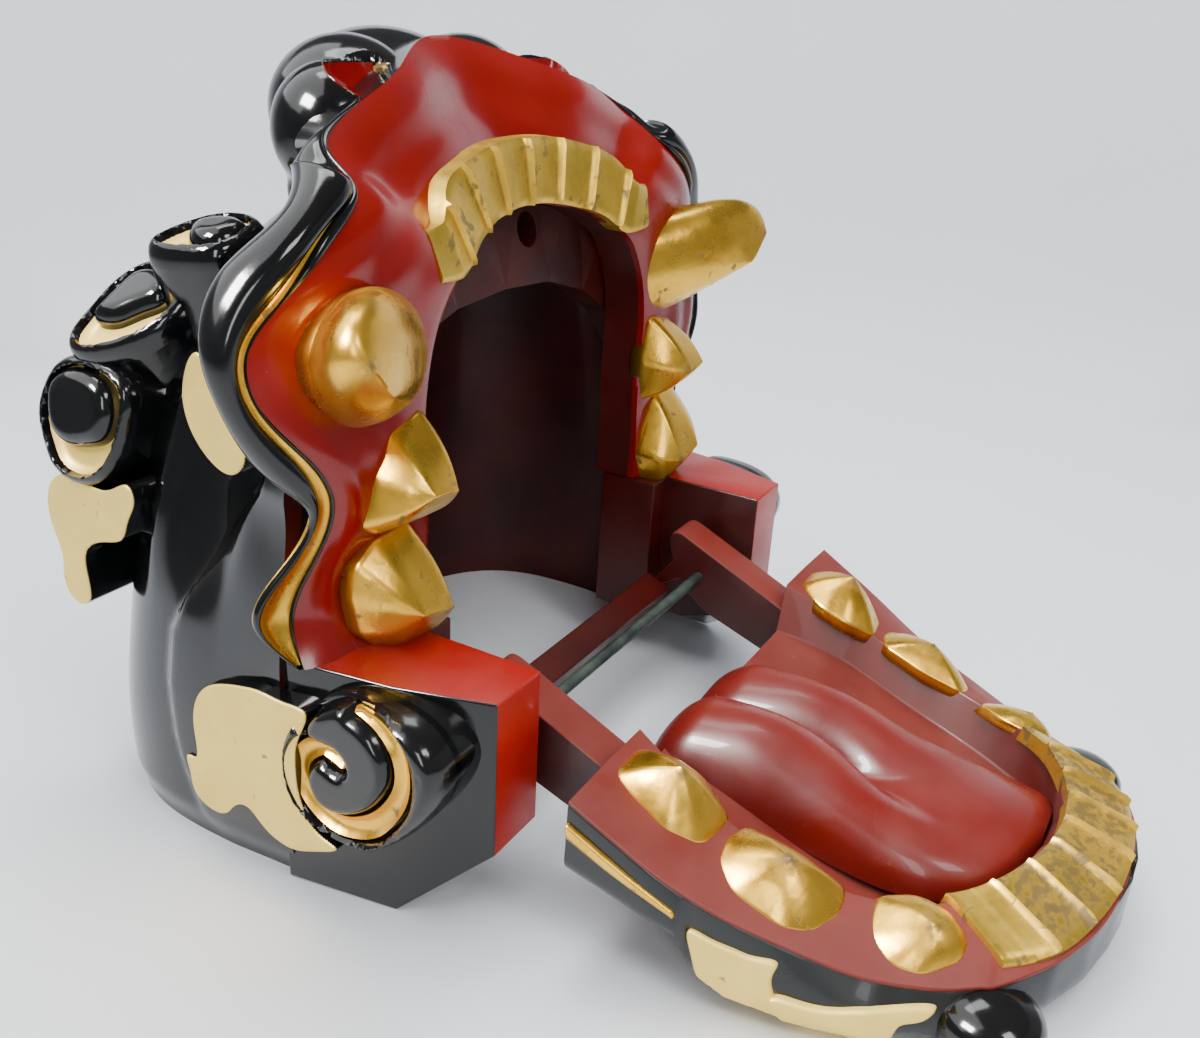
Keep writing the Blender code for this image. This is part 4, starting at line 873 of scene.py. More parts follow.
def make_cheek_curls():
    outline = spline(CURL_OUTLINE, 190, closed=True)
    outer, inner = spline(CURL_GOLD_OUTER, 150), spline(CURL_GOLD_INNER, 130)
    hook, top = spline(CURL_HOOK, 30), spline(CURL_BOSS_TOP, 40)
    groove = np.vstack([outer, hook[1:-1], inner[::-1]])
    boss = np.vstack([inner, hook[::-1][1:-1], outer[:-9:-1][1:], top[1:-1]])
    base = relief(outline, roll(0.004, 0.004), root=-0.034)
    start = np.argmin(np.linalg.norm(outline - (0.0400, 0.1281), axis=1))
    ring = np.roll(outline, -start, axis=0)
    stop = np.argmin(np.linalg.norm(ring - (0.0700, 0.1082), axis=1))
    roll_ring = np.vstack([ring[:stop], outer[:-8][::-1]])
    body = join(
        base,
        painted(relief(groove, dish(0.0105, 0.0035, 0.005), root=-0.004), 1),
        relief(roll_ring, ridge(0.0160, 0.0080, 0.0035, 0.0040), root=-0.004),
        relief(boss, roll(0.0165, 0.0070), root=-0.004),
    )
    add_pair("cheek_curl", "head", side_plane(body, 0.1880), BLACK, extra=(GOLD,), sharp=60)


# Leaves and crescents

CHEEK_LEAF = (
    # y, z
    (0.1298, 0.1024), (0.1086, 0.1114), (0.0906, 0.1139), (0.0803, 0.1131), (0.0640, 0.1120),
    (0.0700, 0.0934), (0.0720, 0.0794), (0.0710, 0.0640), (0.0670, 0.0536), (0.0590, 0.0447),
    (0.0482, 0.0408), (0.0607, 0.0335), (0.0790, 0.0278), (0.0916, 0.0307), (0.1004, 0.0371),
    (0.1057, 0.0408), (0.1134, 0.0392), (0.1218, 0.0305), (0.1337, 0.0289), (0.1430, 0.0346),
    (0.1463, 0.0487), (0.1463, 0.0571), (0.1414, 0.0574), (0.1392, 0.0649), (0.1399, 0.0795),
    (0.1364, 0.0937),
)
BROW_LEAF = (
    (0.2499, 0.1776), (0.2559, 0.1540), (0.2501, 0.1330), (0.2505, 0.1160), (0.2421, 0.1078),
    (0.2332, 0.1106), (0.2314, 0.1259), (0.2307, 0.1405), (0.2169, 0.1505), (0.2001, 0.1571),
    (0.1945, 0.1684), (0.1884, 0.1833), (0.1903, 0.1876), (0.2064, 0.1826), (0.2324, 0.1839),
)
SIDE_CRESCENT = (
    (0.1328, 0.2679), (0.1431, 0.2561), (0.1444, 0.2356), (0.1339, 0.2190), (0.1167, 0.2127),
    (0.1080, 0.2234), (0.1100, 0.2354), (0.1190, 0.2513), (0.1280, 0.2650),
)


def make_leaves():
    for name, outline, face, root in (
        ("cheek_leaf", CHEEK_LEAF, 0.1994, -0.0204),
        ("brow_leaf", BROW_LEAF, 0.1820, -0.034),
        ("side_crescent", SIDE_CRESCENT, 0.1830, -0.014),
    ):
        ring = spline(outline, 10 * len(outline), closed=True)
        shape = relief(ring, roll(0.0012, 0.0014), spacing=0.0024, root=root)
        shape = side_plane(shape, face)
        if name == "brow_leaf":
            shape = seated(shape, (-1, 0, 0), HOOD)

        def pick(centre, normal, face=face):
            return 0 if abs(centre.x) > face + 0.00025 else 1

        add_pair(name, "head", shape, FLAT_GOLD, extra=(BLACK,), pick=pick, sharp=50)


# Cheek blocks

BLOCK_PLAN = (
    # x, y round the block, from its inner front corner
    (0.130, -0.021), (0.130, 0.0865), (0.1915, 0.0890), (0.182, 0.028), (0.167, -0.021),
)
FLANGE_PLAN = ((0.112, 0.045), (0.112, 0.0847), (0.131, 0.0847), (0.131, 0.045))
BLOCK_TOP = 0.1298
BLOCK_CHAMFER_Z = 0.045
BLOCK_FOOT_Y = 0.027
# The underside slants up from the outer edge to the inner one.
BLOCK_FOOT_Z = (0.030, 0.034, 0.0, 0.0, 0.0)
FLANGE_FOOT_Z = 0.034


def column(levels):
    """Closed body over plans at rising heights."""
    rings = [np.column_stack([plan, plan[:, 0] * 0.0 + z]) for plan, z in levels]
    count = len(rings[0])
    faces = grid_faces(len(rings), count, wrap=True)
    faces += [tuple(range(count)), tuple(range((len(rings) - 1) * count, len(rings) * count))]
    return np.vstack(rings), faces


def make_cheek_blocks():
    plan, flange = np.array(BLOCK_PLAN), np.array(FLANGE_PLAN)
    foot = plan.copy()
    foot[:, 1] = np.maximum(foot[:, 1], BLOCK_FOOT_Y)
    foot[-1, 0] = foot[-2, 0]
    foot[-2, 1] += 0.001
    block = column(((foot, BLOCK_FOOT_Z), (plan, BLOCK_CHAMFER_Z), (plan, BLOCK_TOP)))
    wall = column(((flange, FLANGE_FOOT_Z), (flange, BLOCK_TOP)))

    # Faces turned to the middle and the flange take the dark inner red as painted shade; the top and
    # the front take the lighter red, painted light.
    def pick(centre, normal):
        if normal.x * centre.x < -0.5 * abs(centre.x) or abs(centre.x) < 0.1295:
            return 2
        outside = abs(centre.x) > 0.1632 and abs(normal.x) > 0.45
        low = normal.z < -0.5 or (abs(centre.x) > 0.172 and normal.z < 0.3)
        return 1 if outside or low else 0

    add_pair("cheek_block", "head", join(block, wall), RED_WITH_PAINTED_LIGHT, extra=(BLACK, INNER_RED_AND_PAINTED_SHADE),
             pick=pick, sharp=40, bevel=(0.0013, 20, 4))


# Teeth

def spaced(ring, count):
    """Points evenly spaced along a closed line of straight runs."""
    ring = np.vstack([ring, ring[:1]])
    place = np.concatenate([[0.0], np.cumsum(np.linalg.norm(np.diff(ring, axis=0), axis=1))])
    where = np.linspace(0.0, place[-1], count, endpoint=False)
    return np.stack([np.interp(where, place, column) for column in ring.T], axis=1)


def spike(corners, shares, ridge, sink, radius=0.0045, bulge=0.0012, count=120, steps=18, lift=0.0):
    """Tooth with flat faces; each base corner leads to its share of the way along the ridge."""
    shares = np.array(shares, float)[:, None] * 0.001
    ring = spaced(rounded(np.hstack([np.array(corners, float), shares]), radius, 4), count)
    base = ring[:, :3]
    near, far = np.array(ridge, float)
    tips = near + ring[:, 3:] * 1000.0 * (far - near)
    outward = unit(base - base.mean(axis=0))
    tip = 0.5 * (near + far)
    height = unit(tip - base.mean(axis=0))
    rows = [base - sink, base - 0.1 * sink]
    for part in np.linspace(0.0, 0.955, steps):
        full = bulge * sin(pi * part) * (1.0 + lift * outward[:, 2:])
        rows.append(base + (tips - base) * part + (outward + height) * full)
    end = rows[-1]
    middle = end.mean(axis=0)
    rows.append(tips + (end - tips) * 0.55 + height * 0.0002)
    rows.append(middle + (tips - middle) * 0.6 + height * 0.0008)
    return tube(rows)


FANG_BASE = (
    # x, z on the rim, clockwise from the top
    (0.1490, 0.3040), (0.1290, 0.2980), (0.1140, 0.2855), (0.1065, 0.2635), (0.1150, 0.2450),
    (0.1400, 0.2385), (0.1630, 0.2410), (0.1780, 0.2520), (0.1865, 0.2650), (0.1890, 0.2790),
    (0.1820, 0.2920), (0.1670, 0.3030),
)
FANG_BASE_Y = 0.062
# Each corner's share of the way along the fang's blunt end, and the two ends of that.
FANG_SHARES = (0.10, 0.40, 0.70, 1.00, 1.00, 1.00, 0.85, 0.50, 0.10, 0.00, 0.00, 0.00)
FANG_RIDGE = ((0.1985, 0.0195, 0.2862), (0.1849, 0.0210, 0.2702))
UPPER_MOLARS = (
    # base corners as x, z and share of the ridge, then the ridge's inner and outer end
    (((0.1168, 0.2403, 0), (0.1422, 0.2340, 1), (0.1560, 0.2170, 1), (0.1620, 0.1930, 1),
      (0.1540, 0.1870, 1), (0.1125, 0.1850, 0), (0.1080, 0.2120, 0)),
     ((0.1255, 0.0310, 0.2072), (0.1420, 0.0315, 0.2097))),
    (((0.1290, 0.1868, 0), (0.1520, 0.1850, 1), (0.1670, 0.1760, 1), (0.1700, 0.1600, 1),
      (0.1655, 0.1390, 1), (0.1480, 0.1215, 1), (0.1230, 0.1190, 0), (0.1120, 0.1480, 0)),
     ((0.1262, 0.0330, 0.1455), (0.1488, 0.0330, 0.1503))),
)


def tooth_grime(verts, tip, reach):
    """Grime that gathers near a tip."""
    near = np.linalg.norm(np.asarray(verts) - np.asarray(tip), axis=1)
    return 0.9 * np.exp(-(near / reach) ** 2)


def make_upper_teeth():
    corners = [(x, FANG_BASE_Y, z) for x, z in FANG_BASE]
    fang = spike(corners, FANG_SHARES, FANG_RIDGE, np.array((0, -0.008, 0)), radius=0.009,
                 bulge=0.0060, count=144, steps=34, lift=0.9)
    add_pair("fang", "head", fang, GOLD, grime=tooth_grime(fang[0], FANG_RIDGE[0], 0.005))
    for number, (base, tips) in enumerate(UPPER_MOLARS, start=1):
        corners = [(x, 0.0590, z) for x, z, _ in base]
        shape = spike(corners, [row[2] for row in base], tips, np.array((0, -0.008, 0)),
                      bulge=0.0020)
        add_pair("upper_molar_%d" % number, "head", shape, GOLD,
                 grime=tooth_grime(shape[0], tips[0], 0.007))


STRIP_TEETH = 8


def strip(rows, thickness, up, mottle, slope=0, teeth=STRIP_TEETH, root=0.006):
    """Arc of plates with raised dividers between them, and how grimy each vertex is."""
    right = np.array(rows, float)
    whole = np.vstack([right, (right * (-1, 1, 1, -1, 1, 1))[-2::-1]])
    count = teeth * 18 + 1
    lines = spline(whole, count)
    up = unit(np.array(up, float))
    sections, grime = [], []
    for i, line in enumerate(lines):
        inner, outer = line[:3], line[3:]
        part = (i / (count - 1) * teeth) % 1.0
        apart = min(part, 1.0 - part) if 0 < i < count - 1 else 0.5
        divider = 1.0 - step(apart, 0.020, 0.062)
        hollow = 0.0009 * (1.0 - divider) * sin(pi * min(max(part, 0.0), 1.0)) ** 0.5
        plate = 0.25 * np.sin(7.3 * int(i / (count - 1) * teeth + 0.5) + 1.0)
        height = thickness + 0.0024 * divider - hollow + 0.0012 * plate * (1.0 - divider)
        height *= min(1.0, (min(i, count - 1 - i) + 4) / (slope + 4))
        ring = [inner - up * root]
        marks = [0.0]
        for share in np.linspace(0.0, 1.0, 14):
            edge = min(share, 1.0 - share)
            fall = 0.0016 * (1.0 - step(edge, 0.0, 0.10)) + 0.0010 * share * (1.0 - divider)
            ring.append(inner + (outer - inner) * share + up * (height - fall))
            gathered = max(0.75 * np.exp(-((apart - 0.10) / 0.04) ** 2), mottle)
            end_plate = part * (1 - part) > 0 and teeth - 1 > i / (count - 1) * teeth > 1
            marks.append(gathered * (1.0 - divider) * (1.0 if end_plate else 0.3)
                         * (1.0 - step(share, 0.86, 0.95)))
        ring.append(outer - up * root)
        marks.append(0.3)
        sections.append(ring)
        grime.append(marks)
    shape = tube(sections)
    return shape, np.array(grime).reshape(-1)


UPPER_STRIP_ROWS = (
    # inner x, y, z, outer x, y, z
    (0.1020, 0.0588, 0.2975, 0.1068, 0.0640, 0.3216),
    (0.0790, 0.0660, 0.2972, 0.0925, 0.068, 0.3255),
    (0.066, 0.069, 0.3055, 0.083, 0.0745, 0.3365),
    (0.045, 0.076, 0.3135, 0.058, 0.081, 0.3465),
    (0.023, 0.080, 0.3180, 0.030, 0.0845, 0.3520),
    (0.000, 0.0815, 0.3195, 0.000, 0.0855, 0.3534),
)
LOWER_STRIP_ROWS = (
    # inner x, y, z, outer x, y, z
    (0.0830, -0.2130, 0.0510, 0.0960, -0.2455, 0.0365),
    (0.0680, -0.2280, 0.0535, 0.0790, -0.2640, 0.0390),
    (0.0460, -0.2400, 0.0555, 0.0560, -0.2755, 0.0420),
    (0.0230, -0.2475, 0.0565, 0.0285, -0.2825, 0.0450),
    (0.0000, -0.2495, 0.0562, 0.0000, -0.2845, 0.0465),
)


def make_strips():
    shape, grime = strip(UPPER_STRIP_ROWS, 0.0070, (0, -1, 0), 0.10, slope=10)
    add_piece("look_upper_incisors", "head", shape, OLD_GOLD, ["upper_incisors"], grime=grime,
              sharp=50)
    shape, grime = strip(LOWER_STRIP_ROWS, 0.0055, (0, -0.25, 1), 0.80)
    add_piece("look_lower_incisors", "jaw", shape, OLD_GOLD, ["lower_incisors"], grime=grime,
              sharp=50)


# Jaw

JAW_SECTIONS = (
    # y, outer x, outer z, inner x, inner z, floor z, underside z
    (-0.0590, 0.1650, 0.0920, 0.0965, 0.0935, 0.0640, 0.0560),
    (-0.0765, 0.1637, 0.0825, 0.1010, 0.0860, 0.0600, 0.0520),
    (-0.1000, 0.1615, 0.0700, 0.1070, 0.0770, 0.0520, 0.0440),
    (-0.1186, 0.1575, 0.0605, 0.1090, 0.0685, 0.0440, 0.0360),
    (-0.1385, 0.1520, 0.0520, 0.1090, 0.0610, 0.0360, 0.0280),
    (-0.1580, 0.1460, 0.0457, 0.1070, 0.0555, 0.0300, 0.0220),
    (-0.1770, 0.1405, 0.0405, 0.1030, 0.0520, 0.0260, 0.0180),
    (-0.1930, 0.1350, 0.0365, 0.0970, 0.0505, 0.0240, 0.0160),
    (-0.2126, 0.1260, 0.0342, 0.0860, 0.0510, 0.0230, 0.0150),
    (-0.2280, 0.1175, 0.0335, 0.0720, 0.0535, 0.0250, 0.0150),
    (-0.2400, 0.1095, 0.0345, 0.0520, 0.0560, 0.0300, 0.0160),
    (-0.2480, 0.1030, 0.0350, 0.0200, 0.0565, 0.0450, 0.0170),
    (-0.2571, 0.0925, 0.0368, 0.0160, 0.0545, 0.0520, 0.0190),
    (-0.2673, 0.0785, 0.0392, 0.0130, 0.0515, 0.0490, 0.0210),
    (-0.2733, 0.0670, 0.0409, 0.0110, 0.0495, 0.0470, 0.0240),
    (-0.2792, 0.0520, 0.0430, 0.0090, 0.0475, 0.0450, 0.0270),
    (-0.2835, 0.0320, 0.0450, 0.0060, 0.0470, 0.0445, 0.0300),
    (-0.2855, 0.0150, 0.0460, 0.0040, 0.0468, 0.0440, 0.0320),
)
LIP_SECTIONS = (
    # y, top x, waist x, bottom x, bottom z
    (-0.0590, 0.1645, 0.1655, 0.1620, 0.0520),
    (-0.1000, 0.1610, 0.1640, 0.1590, 0.0405),
    (-0.1150, 0.1580, 0.1620, 0.1570, 0.0365),
    (-0.1200, 0.1565, 0.1570, 0.1520, 0.0180),
    (-0.1400, 0.1510, 0.1560, 0.1480, 0.0080),
    (-0.1700, 0.1420, 0.1500, 0.1370, 0.0030),
    (-0.2000, 0.1315, 0.1420, 0.1200, 0.0000),
    (-0.2300, 0.1160, 0.1240, 0.1000, 0.0000),
    (-0.2500, 0.1005, 0.1070, 0.0820, 0.0000),
    (-0.2660, 0.0800, 0.0840, 0.0600, 0.0010),
    (-0.2780, 0.0550, 0.0570, 0.0400, 0.0040),
    (-0.2850, 0.0250, 0.0270, 0.0200, 0.0090),
    (-0.2875, 0.0100, 0.0110, 0.0080, 0.0150),
)


def table_at(table, y):
    """Columns of a table of sections at a place along Y."""
    rows = np.array(table)
    return [np.interp(-y, -rows[:, 0], rows[:, k]) for k in range(1, rows.shape[1])]


def both_sides(y, points, radius, steps=3):
    """Closed symmetric section at a place along Y, its corners rounded."""
    right = [np.array((x, z)) for x, z in points]
    ring = rounded(right + [point * (-1, 1) for point in right[::-1]], radius, steps)
    return np.column_stack([ring[:, 0], np.full(len(ring), y), ring[:, 1]])


# How far the tray's red rim shows above the black lip.
TRAY_EDGE = 0.0022


def make_jaw_tray():
    sections = []
    for y, outer_x, outer_z, inner_x, inner_z, floor_z, under_z in spline(JAW_SECTIONS, 150):
        inset = min(0.008, 0.3 * outer_x)
        sections.append(both_sides(y, (
            (inner_x - min(0.008, 0.2 * inner_x), floor_z),
            (inner_x, inner_z),
            (0.5 * (inner_x + outer_x), 0.5 * (inner_z + outer_z) + 0.0006),
            (outer_x, outer_z),
            (outer_x, outer_z - TRAY_EDGE),
            (outer_x - inset, outer_z - TRAY_EDGE),
            (outer_x - 1.5 * inset, under_z),
        ), 0.0016))
    add_piece("look_jaw_tray", "jaw", tube(sections), JAW_RED, ["jaw_tray"], sharp=50)


def make_lower_lip():
    places = np.concatenate([np.linspace(-0.059, -0.1145, 24), np.linspace(-0.1152, -0.120, 8),
                             np.linspace(-0.1215, -0.280, 90),
                             -0.2875 + 0.0072 * np.linspace(1, 0, 12) ** 2])
    sections = []
    for y in places:
        top_x, waist_x, bottom_x, bottom_z = table_at(LIP_SECTIONS, y)
        _, outer_z, inner_x, inner_z, floor_z, under_z = table_at(JAW_SECTIONS, y)
        top_z = outer_z - 0.4 * TRAY_EDGE
        high = top_z - bottom_z
        sections.append(both_sides(y, (
            (inner_x - min(0.008, 0.2 * inner_x), 0.5 * (floor_z + under_z)),
            (inner_x + 0.002, top_z),
            (top_x - 0.0006, top_z),
            (top_x + 0.0008, top_z - 0.0012),
            (0.35 * top_x + 0.65 * waist_x + 0.0006, bottom_z + 0.68 * high),
            (waist_x + 0.0004, bottom_z + 0.42 * high),
            (0.5 * (waist_x + bottom_x) + 0.003, bottom_z + 0.16 * high),
            (bottom_x, bottom_z),
        ), 0.006))
    add_piece("look_lower_lip", "jaw", tube(sections), DUSTY_BLACK, ["lower_lip"], sharp=60)


TONGUE_ROWS = (
    # y, near edge, groove x, far edge, near crest z, far crest z, front crown z, underside z
    (-0.0480, -0.0690, -0.0100, 0.0420, 0.0790, 0.0700, 0.050, 0.0540),
    (-0.0620, -0.0710, -0.0100, 0.0440, 0.0830, 0.0745, 0.050, 0.0520),
    (-0.0800, -0.0710, -0.0095, 0.0450, 0.0855, 0.0775, 0.050, 0.0480),
    (-0.1050, -0.0690, -0.0080, 0.0460, 0.0855, 0.0780, 0.050, 0.0430),
    (-0.1250, -0.0670, -0.0065, 0.0475, 0.0800, 0.0745, 0.050, 0.0380),
    (-0.1450, -0.0660, -0.0090, 0.0500, 0.0715, 0.0685, 0.050, 0.0340),
    (-0.1650, -0.0655, -0.0150, 0.0520, 0.0630, 0.0615, 0.0535, 0.0310),
    (-0.1850, -0.0640, -0.0150, 0.0540, 0.0570, 0.0560, 0.0555, 0.0290),
    (-0.2050, -0.0590, -0.0130, 0.0550, 0.0520, 0.0520, 0.0550, 0.0290),
    (-0.2250, -0.0460, -0.0050, 0.0530, 0.0470, 0.0470, 0.0520, 0.0300),
    (-0.2380, -0.0180, 0.0100, 0.0460, 0.0440, 0.0440, 0.0480, 0.0330),
    (-0.2430, 0.0040, 0.0180, 0.0340, 0.0420, 0.0420, 0.0440, 0.0350),
)
TONGUE_ROOT_Y = -0.0480
TONGUE_ROOT_RUN = 0.026


def make_tongue():
    """Two lobes with an S-shaped groove between them, which run together towards the tip."""
    sections = []
    turn = np.linspace(0.0, pi, 90)
    for y, near, groove, far, near_z, far_z, crown_z, under in spline(TONGUE_ROWS, 150):
        begun = min(1.0, (TONGUE_ROOT_Y - y) / TONGUE_ROOT_RUN + 0.02)
        ease = np.sqrt(1.0 - (1.0 - begun) ** 2)
        width = 0.5 + 0.5 * ease
        lobes = ((0.5 * (near + groove), 0.5 * (groove - near) * width + 0.001, near_z),
                 (0.5 * (groove + far), 0.5 * (far - groove) * width + 0.001, far_z),
                 (0.5 * (near + far), 0.5 * (far - near), crown_z))
        low = lobes[0][0] - lobes[0][1]
        high = lobes[1][0] + lobes[1][1]
        x = 0.5 * (low + high) - 0.5 * (high - low) * np.cos(turn)
        tops = []
        for middle, half, top in lobes:
            reach = np.clip(np.abs((x - middle) / half), 0.0, 1.0)
            tops.append((top - under) * ease * (1.0 - reach ** 2.3) ** 0.5)
        tops = np.array(tops)
        z = under + np.log(np.exp(tops / 0.0016).sum(axis=0) / 3.0) * 0.0016
        z = np.maximum(z, under)
        z[[0, -1]] = under
        flat = np.linspace(high, low, 14)[1:-1]
        sections.append(np.column_stack([np.append(x, flat), np.full(len(x) + len(flat), y),
                                         np.append(z, np.full(len(flat), under - 0.004))]))
    add_piece("look_tongue", "jaw", tube(sections), TONGUE_RED, ["tongue"], sharp=70)


LOWER_MOLARS = (
    # base corners as x, y on the rim, then the tip
    (((0.1318, -0.0640), (0.1358, -0.0735), (0.1390, -0.0955), (0.1316, -0.1120),
      (0.1080, -0.1155), (0.0985, -0.0990), (0.0985, -0.0800), (0.1080, -0.0645)),
     (0.1215, -0.0935, 0.0990)),
    (((0.1316, -0.1200), (0.1400, -0.1311), (0.1390, -0.1560), (0.1316, -0.1685),
      (0.1160, -0.1760), (0.1030, -0.1740), (0.1005, -0.1500), (0.1040, -0.1235),
      (0.1178, -0.1180)),
     (0.1190, -0.1500, 0.0705)),
    (((0.1084, -0.1880), (0.1175, -0.1915), (0.1232, -0.2030), (0.1188, -0.2170),
      (0.1038, -0.2300), (0.0935, -0.2300), (0.0865, -0.2180), (0.0880, -0.2020),
      (0.0980, -0.1870)),
     (0.1040, -0.2150, 0.0530)),
)


def rim_point(x, y):
    """Point on the top of the jaw's rim."""
    outer_x, outer_z, inner_x, inner_z = table_at(JAW_SECTIONS, y)[:4]
    share = (x - inner_x) / (outer_x - inner_x)
    return np.array((x, y, inner_z + (outer_z - inner_z) * share))


def make_lower_molars():
    for number, (outline, tip) in enumerate(LOWER_MOLARS, start=1):
        corners = np.array([rim_point(x, y) for x, y in outline])
        tip = np.array(tip)
        side = unit(corners[1] - corners[0])
        up = unit(tip - corners.mean(axis=0))
        shape = spike(corners, [0] * len(outline), (tip, tip + side * 0.001), up * 0.007,
                      radius=0.0055, bulge=0.0012)
        add_pair("lower_molar_%d" % number, "jaw", shape, GOLD,
                 grime=tooth_grime(shape[0], tip, 0.008))


ARM_INNER = 0.0942
ARM_OUTER = 0.1195
ARM_END_RADIUS = 0.028
ARM_END_REACH = 0.021
ARM_SLOPE = radians(24)
ARM_HEEL = (0.040, -0.022)


def arm_profile():
    """Side profile of an arm about the pivot, from its round end forward."""
    along = np.array((-cos(ARM_SLOPE), -sin(ARM_SLOPE)))
    across = np.array((sin(ARM_SLOPE), cos(ARM_SLOPE)))
    points = [across * ARM_END_RADIUS + along * 0.078]
    for angle in np.linspace(0.0, 0.52 * pi, 14):
        points.append(ARM_END_RADIUS * across * cos(angle) - ARM_END_REACH * along * sin(angle))
    points.append(np.array(ARM_HEEL))
    for angle in np.linspace(0.70 * pi, pi, 8):
        points.append(ARM_END_RADIUS * (across * cos(angle) - along * sin(angle)))
    points.append(across * (ARM_END_RADIUS - 0.050) + along * 0.052)
    return np.array(points)


def prism(profile, low, high):
    """Side profile in Y and Z drawn out along X."""
    count = len(profile)
    rings = [np.column_stack([np.full(count, x), profile]) for x in (low, high)]
    faces = grid_faces(2, count, wrap=True)
    faces += [tuple(range(count)), tuple(range(count, 2 * count))]
    return np.vstack(rings), faces


def make_arms():
    profile = arm_profile() + (0.0, PIVOT_Z)

    # The arms' side faces take the dark inner red as painted shade.
    def pick(centre, normal):
        return 1 if abs(normal.x) > 0.9 else 0

    add_pair("jaw_arm", "jaw", prism(profile, ARM_INNER, ARM_OUTER), JAW_RED, extra=(INNER_RED_AND_PAINTED_SHADE,),
             pick=pick, sharp=40, bevel=(0.0012, 35, 3))
    turn = radians(24)
    corners = np.array(((-0.009, -0.008), (0.009, -0.008), (0.009, 0.008), (-0.009, 0.008)))
    turned = corners @ np.array(((cos(turn), sin(turn)), (-sin(turn), cos(turn))))
    # The handle is all in the dark inner red, as painted shade.
    handle = prism(turned + (0.0310, 0.0650), -ARM_INNER, ARM_INNER)
    add_piece("look_jaw_handle", "jaw", handle, INNER_RED_AND_PAINTED_SHADE, ["jaw_handle"], sharp=40,
              bevel=(0.0014, 35, 3))


def make_rod():
    """Hand-drawn rod: not quite round, and a little uneven along its length."""
    turn = np.linspace(0.0, 2 * pi, 28, endpoint=False)
    sections = []
    for x in np.linspace(-0.152, 0.152, 120):
        radius = 0.0035 - 0.00012 * (1.0 + sin(310 * x) * sin(97 * x))
        ring = radius * (1.0 + 0.02 * np.cos(3 * turn + 40 * x))
        sections.append(np.column_stack([np.full(28, x), ring * np.cos(turn),
                                         PIVOT_Z + ring * np.sin(turn)]))
    add_piece("look_pivot_rod", "head", tube(blunt(sections, 0.0008, 0.0008)), ROD, ["pivot_rod"])


LIP_BAR_PATH = (
    # y, half_width, low, high
    (-0.060, 0.1640, 0.0690, 0.0810),
    (-0.085, 0.1625, 0.0580, 0.0680),
    (-0.113, 0.1595, 0.0475, 0.0540),
)
JAW_LEAVES = (
    # y, z of the two overlapping leaves
    ((-0.1205, 0.0440), (-0.1292, 0.0425), (-0.1418, 0.0400), (-0.1486, 0.0385), (-0.1600, 0.0365),
     (-0.1590, 0.0320), (-0.1650, 0.0110), (-0.1533, 0.0070), (-0.1391, 0.0110), (-0.1283, 0.0180),
     (-0.1224, 0.0320)),
    ((-0.1600, 0.0215), (-0.1765, 0.0222), (-0.1986, 0.0250), (-0.2102, 0.0262), (-0.2255, 0.0250),
     (-0.2215, 0.0212), (-0.2139, 0.0190), (-0.2109, 0.0110), (-0.2000, 0.0030), (-0.1727, 0.0030),
     (-0.1640, 0.0110)),
)


def lip_wall(y, z):
    """Half width of the lip's outer wall at a height."""
    top_x, waist_x, bottom_x, bottom_z = table_at(LIP_SECTIONS, y)
    high = table_at(JAW_SECTIONS, y)[1] - 0.4 * TRAY_EDGE - bottom_z
    return np.interp((z - bottom_z) / high, (0.0, 0.16, 0.42, 0.68, 1.0),
                     (bottom_x, 0.5 * (waist_x + bottom_x) + 0.003, waist_x,
                      0.35 * top_x + 0.65 * waist_x, top_x))


def make_jaw_trim():
    sections = []
    for y, half, low, high in spline(LIP_BAR_PATH, 60):
        ring = rounded([np.array(point) for point in (
            (half - 0.006, low), (half, low), (half + 0.004, 0.5 * (low + high)),
            (half + 0.004, high), (half - 0.006, high))], 0.0018, 3)
        sections.append(np.column_stack([ring[:, 0], np.full(len(ring), y), ring[:, 1]]))
    add_pair("lip_bar", "jaw", tube(blunt(sections, 0.0015, 0.0015)), GOLD, sharp=50)
    bodies = []
    for layer, outline in enumerate(JAW_LEAVES):
        ring = spline(outline, 110, closed=True)
        verts, faces = side_plane(relief(ring, roll(0.0014, 0.0014), 0.0022, root=-0.010),
                                  0.0016 + 0.0012 * layer)
        verts[:, 0] += [lip_wall(y, z) for y, z in verts[:, 1:]]
        bodies.append((verts, faces))
    add_pair("jaw_leaf", "jaw", join(*bodies), FLAT_GOLD, sharp=50)


CHIN_FORMS = (
    ((0.1075, -0.2455, 0.0166), (0.0240, 0.0260, 0.0163)),
)


def make_chin_curls():
    add_pair("chin_curl", "jaw", melted(CHIN_FORMS, 0.0014, 6), BLACK)


make_rim()
make_lip_bands()
make_lip_grooves()
make_shell()
hood = bpy.data.objects["look_head_shell"].data
HOOD = BVHTree.FromPolygons([vert.co - Vector((0, CENTRE_Y, 0)) for vert in hood.vertices],
                            [tuple(face.vertices) for face in hood.polygons])
# The palate takes the dark inner red: its own dark red, darkened as painted shade.
dress_node("palate", INNER_RED_AND_PAINTED_SHADE)
make_nose()
make_brow_curls()
make_cheek_curls()
make_leaves()
make_cheek_blocks()
make_upper_teeth()
make_strips()
make_jaw_tray()
make_lower_lip()
make_tongue()
make_lower_molars()
make_arms()
make_rod()
make_jaw_trim()
make_chin_curls()


# Camera, floor and light

camera_data = bpy.data.cameras.new("camera")
camera_data.lens = 36.0
camera_data.sensor_width = 36.0
camera = bpy.data.objects.new("camera", camera_data)
bpy.context.scene.collection.objects.link(camera)
camera.matrix_world = Matrix((
    (0.4988, 0.3233, -0.8042, -0.55),
    (-0.8651, 0.2423, -0.4391, -0.277 + CENTRE_Y),
    (0.0529, 0.9147, 0.4006, 0.4246),
    (0.0, 0.0, 0.0, 1.0),
))
bpy.context.scene.camera = camera

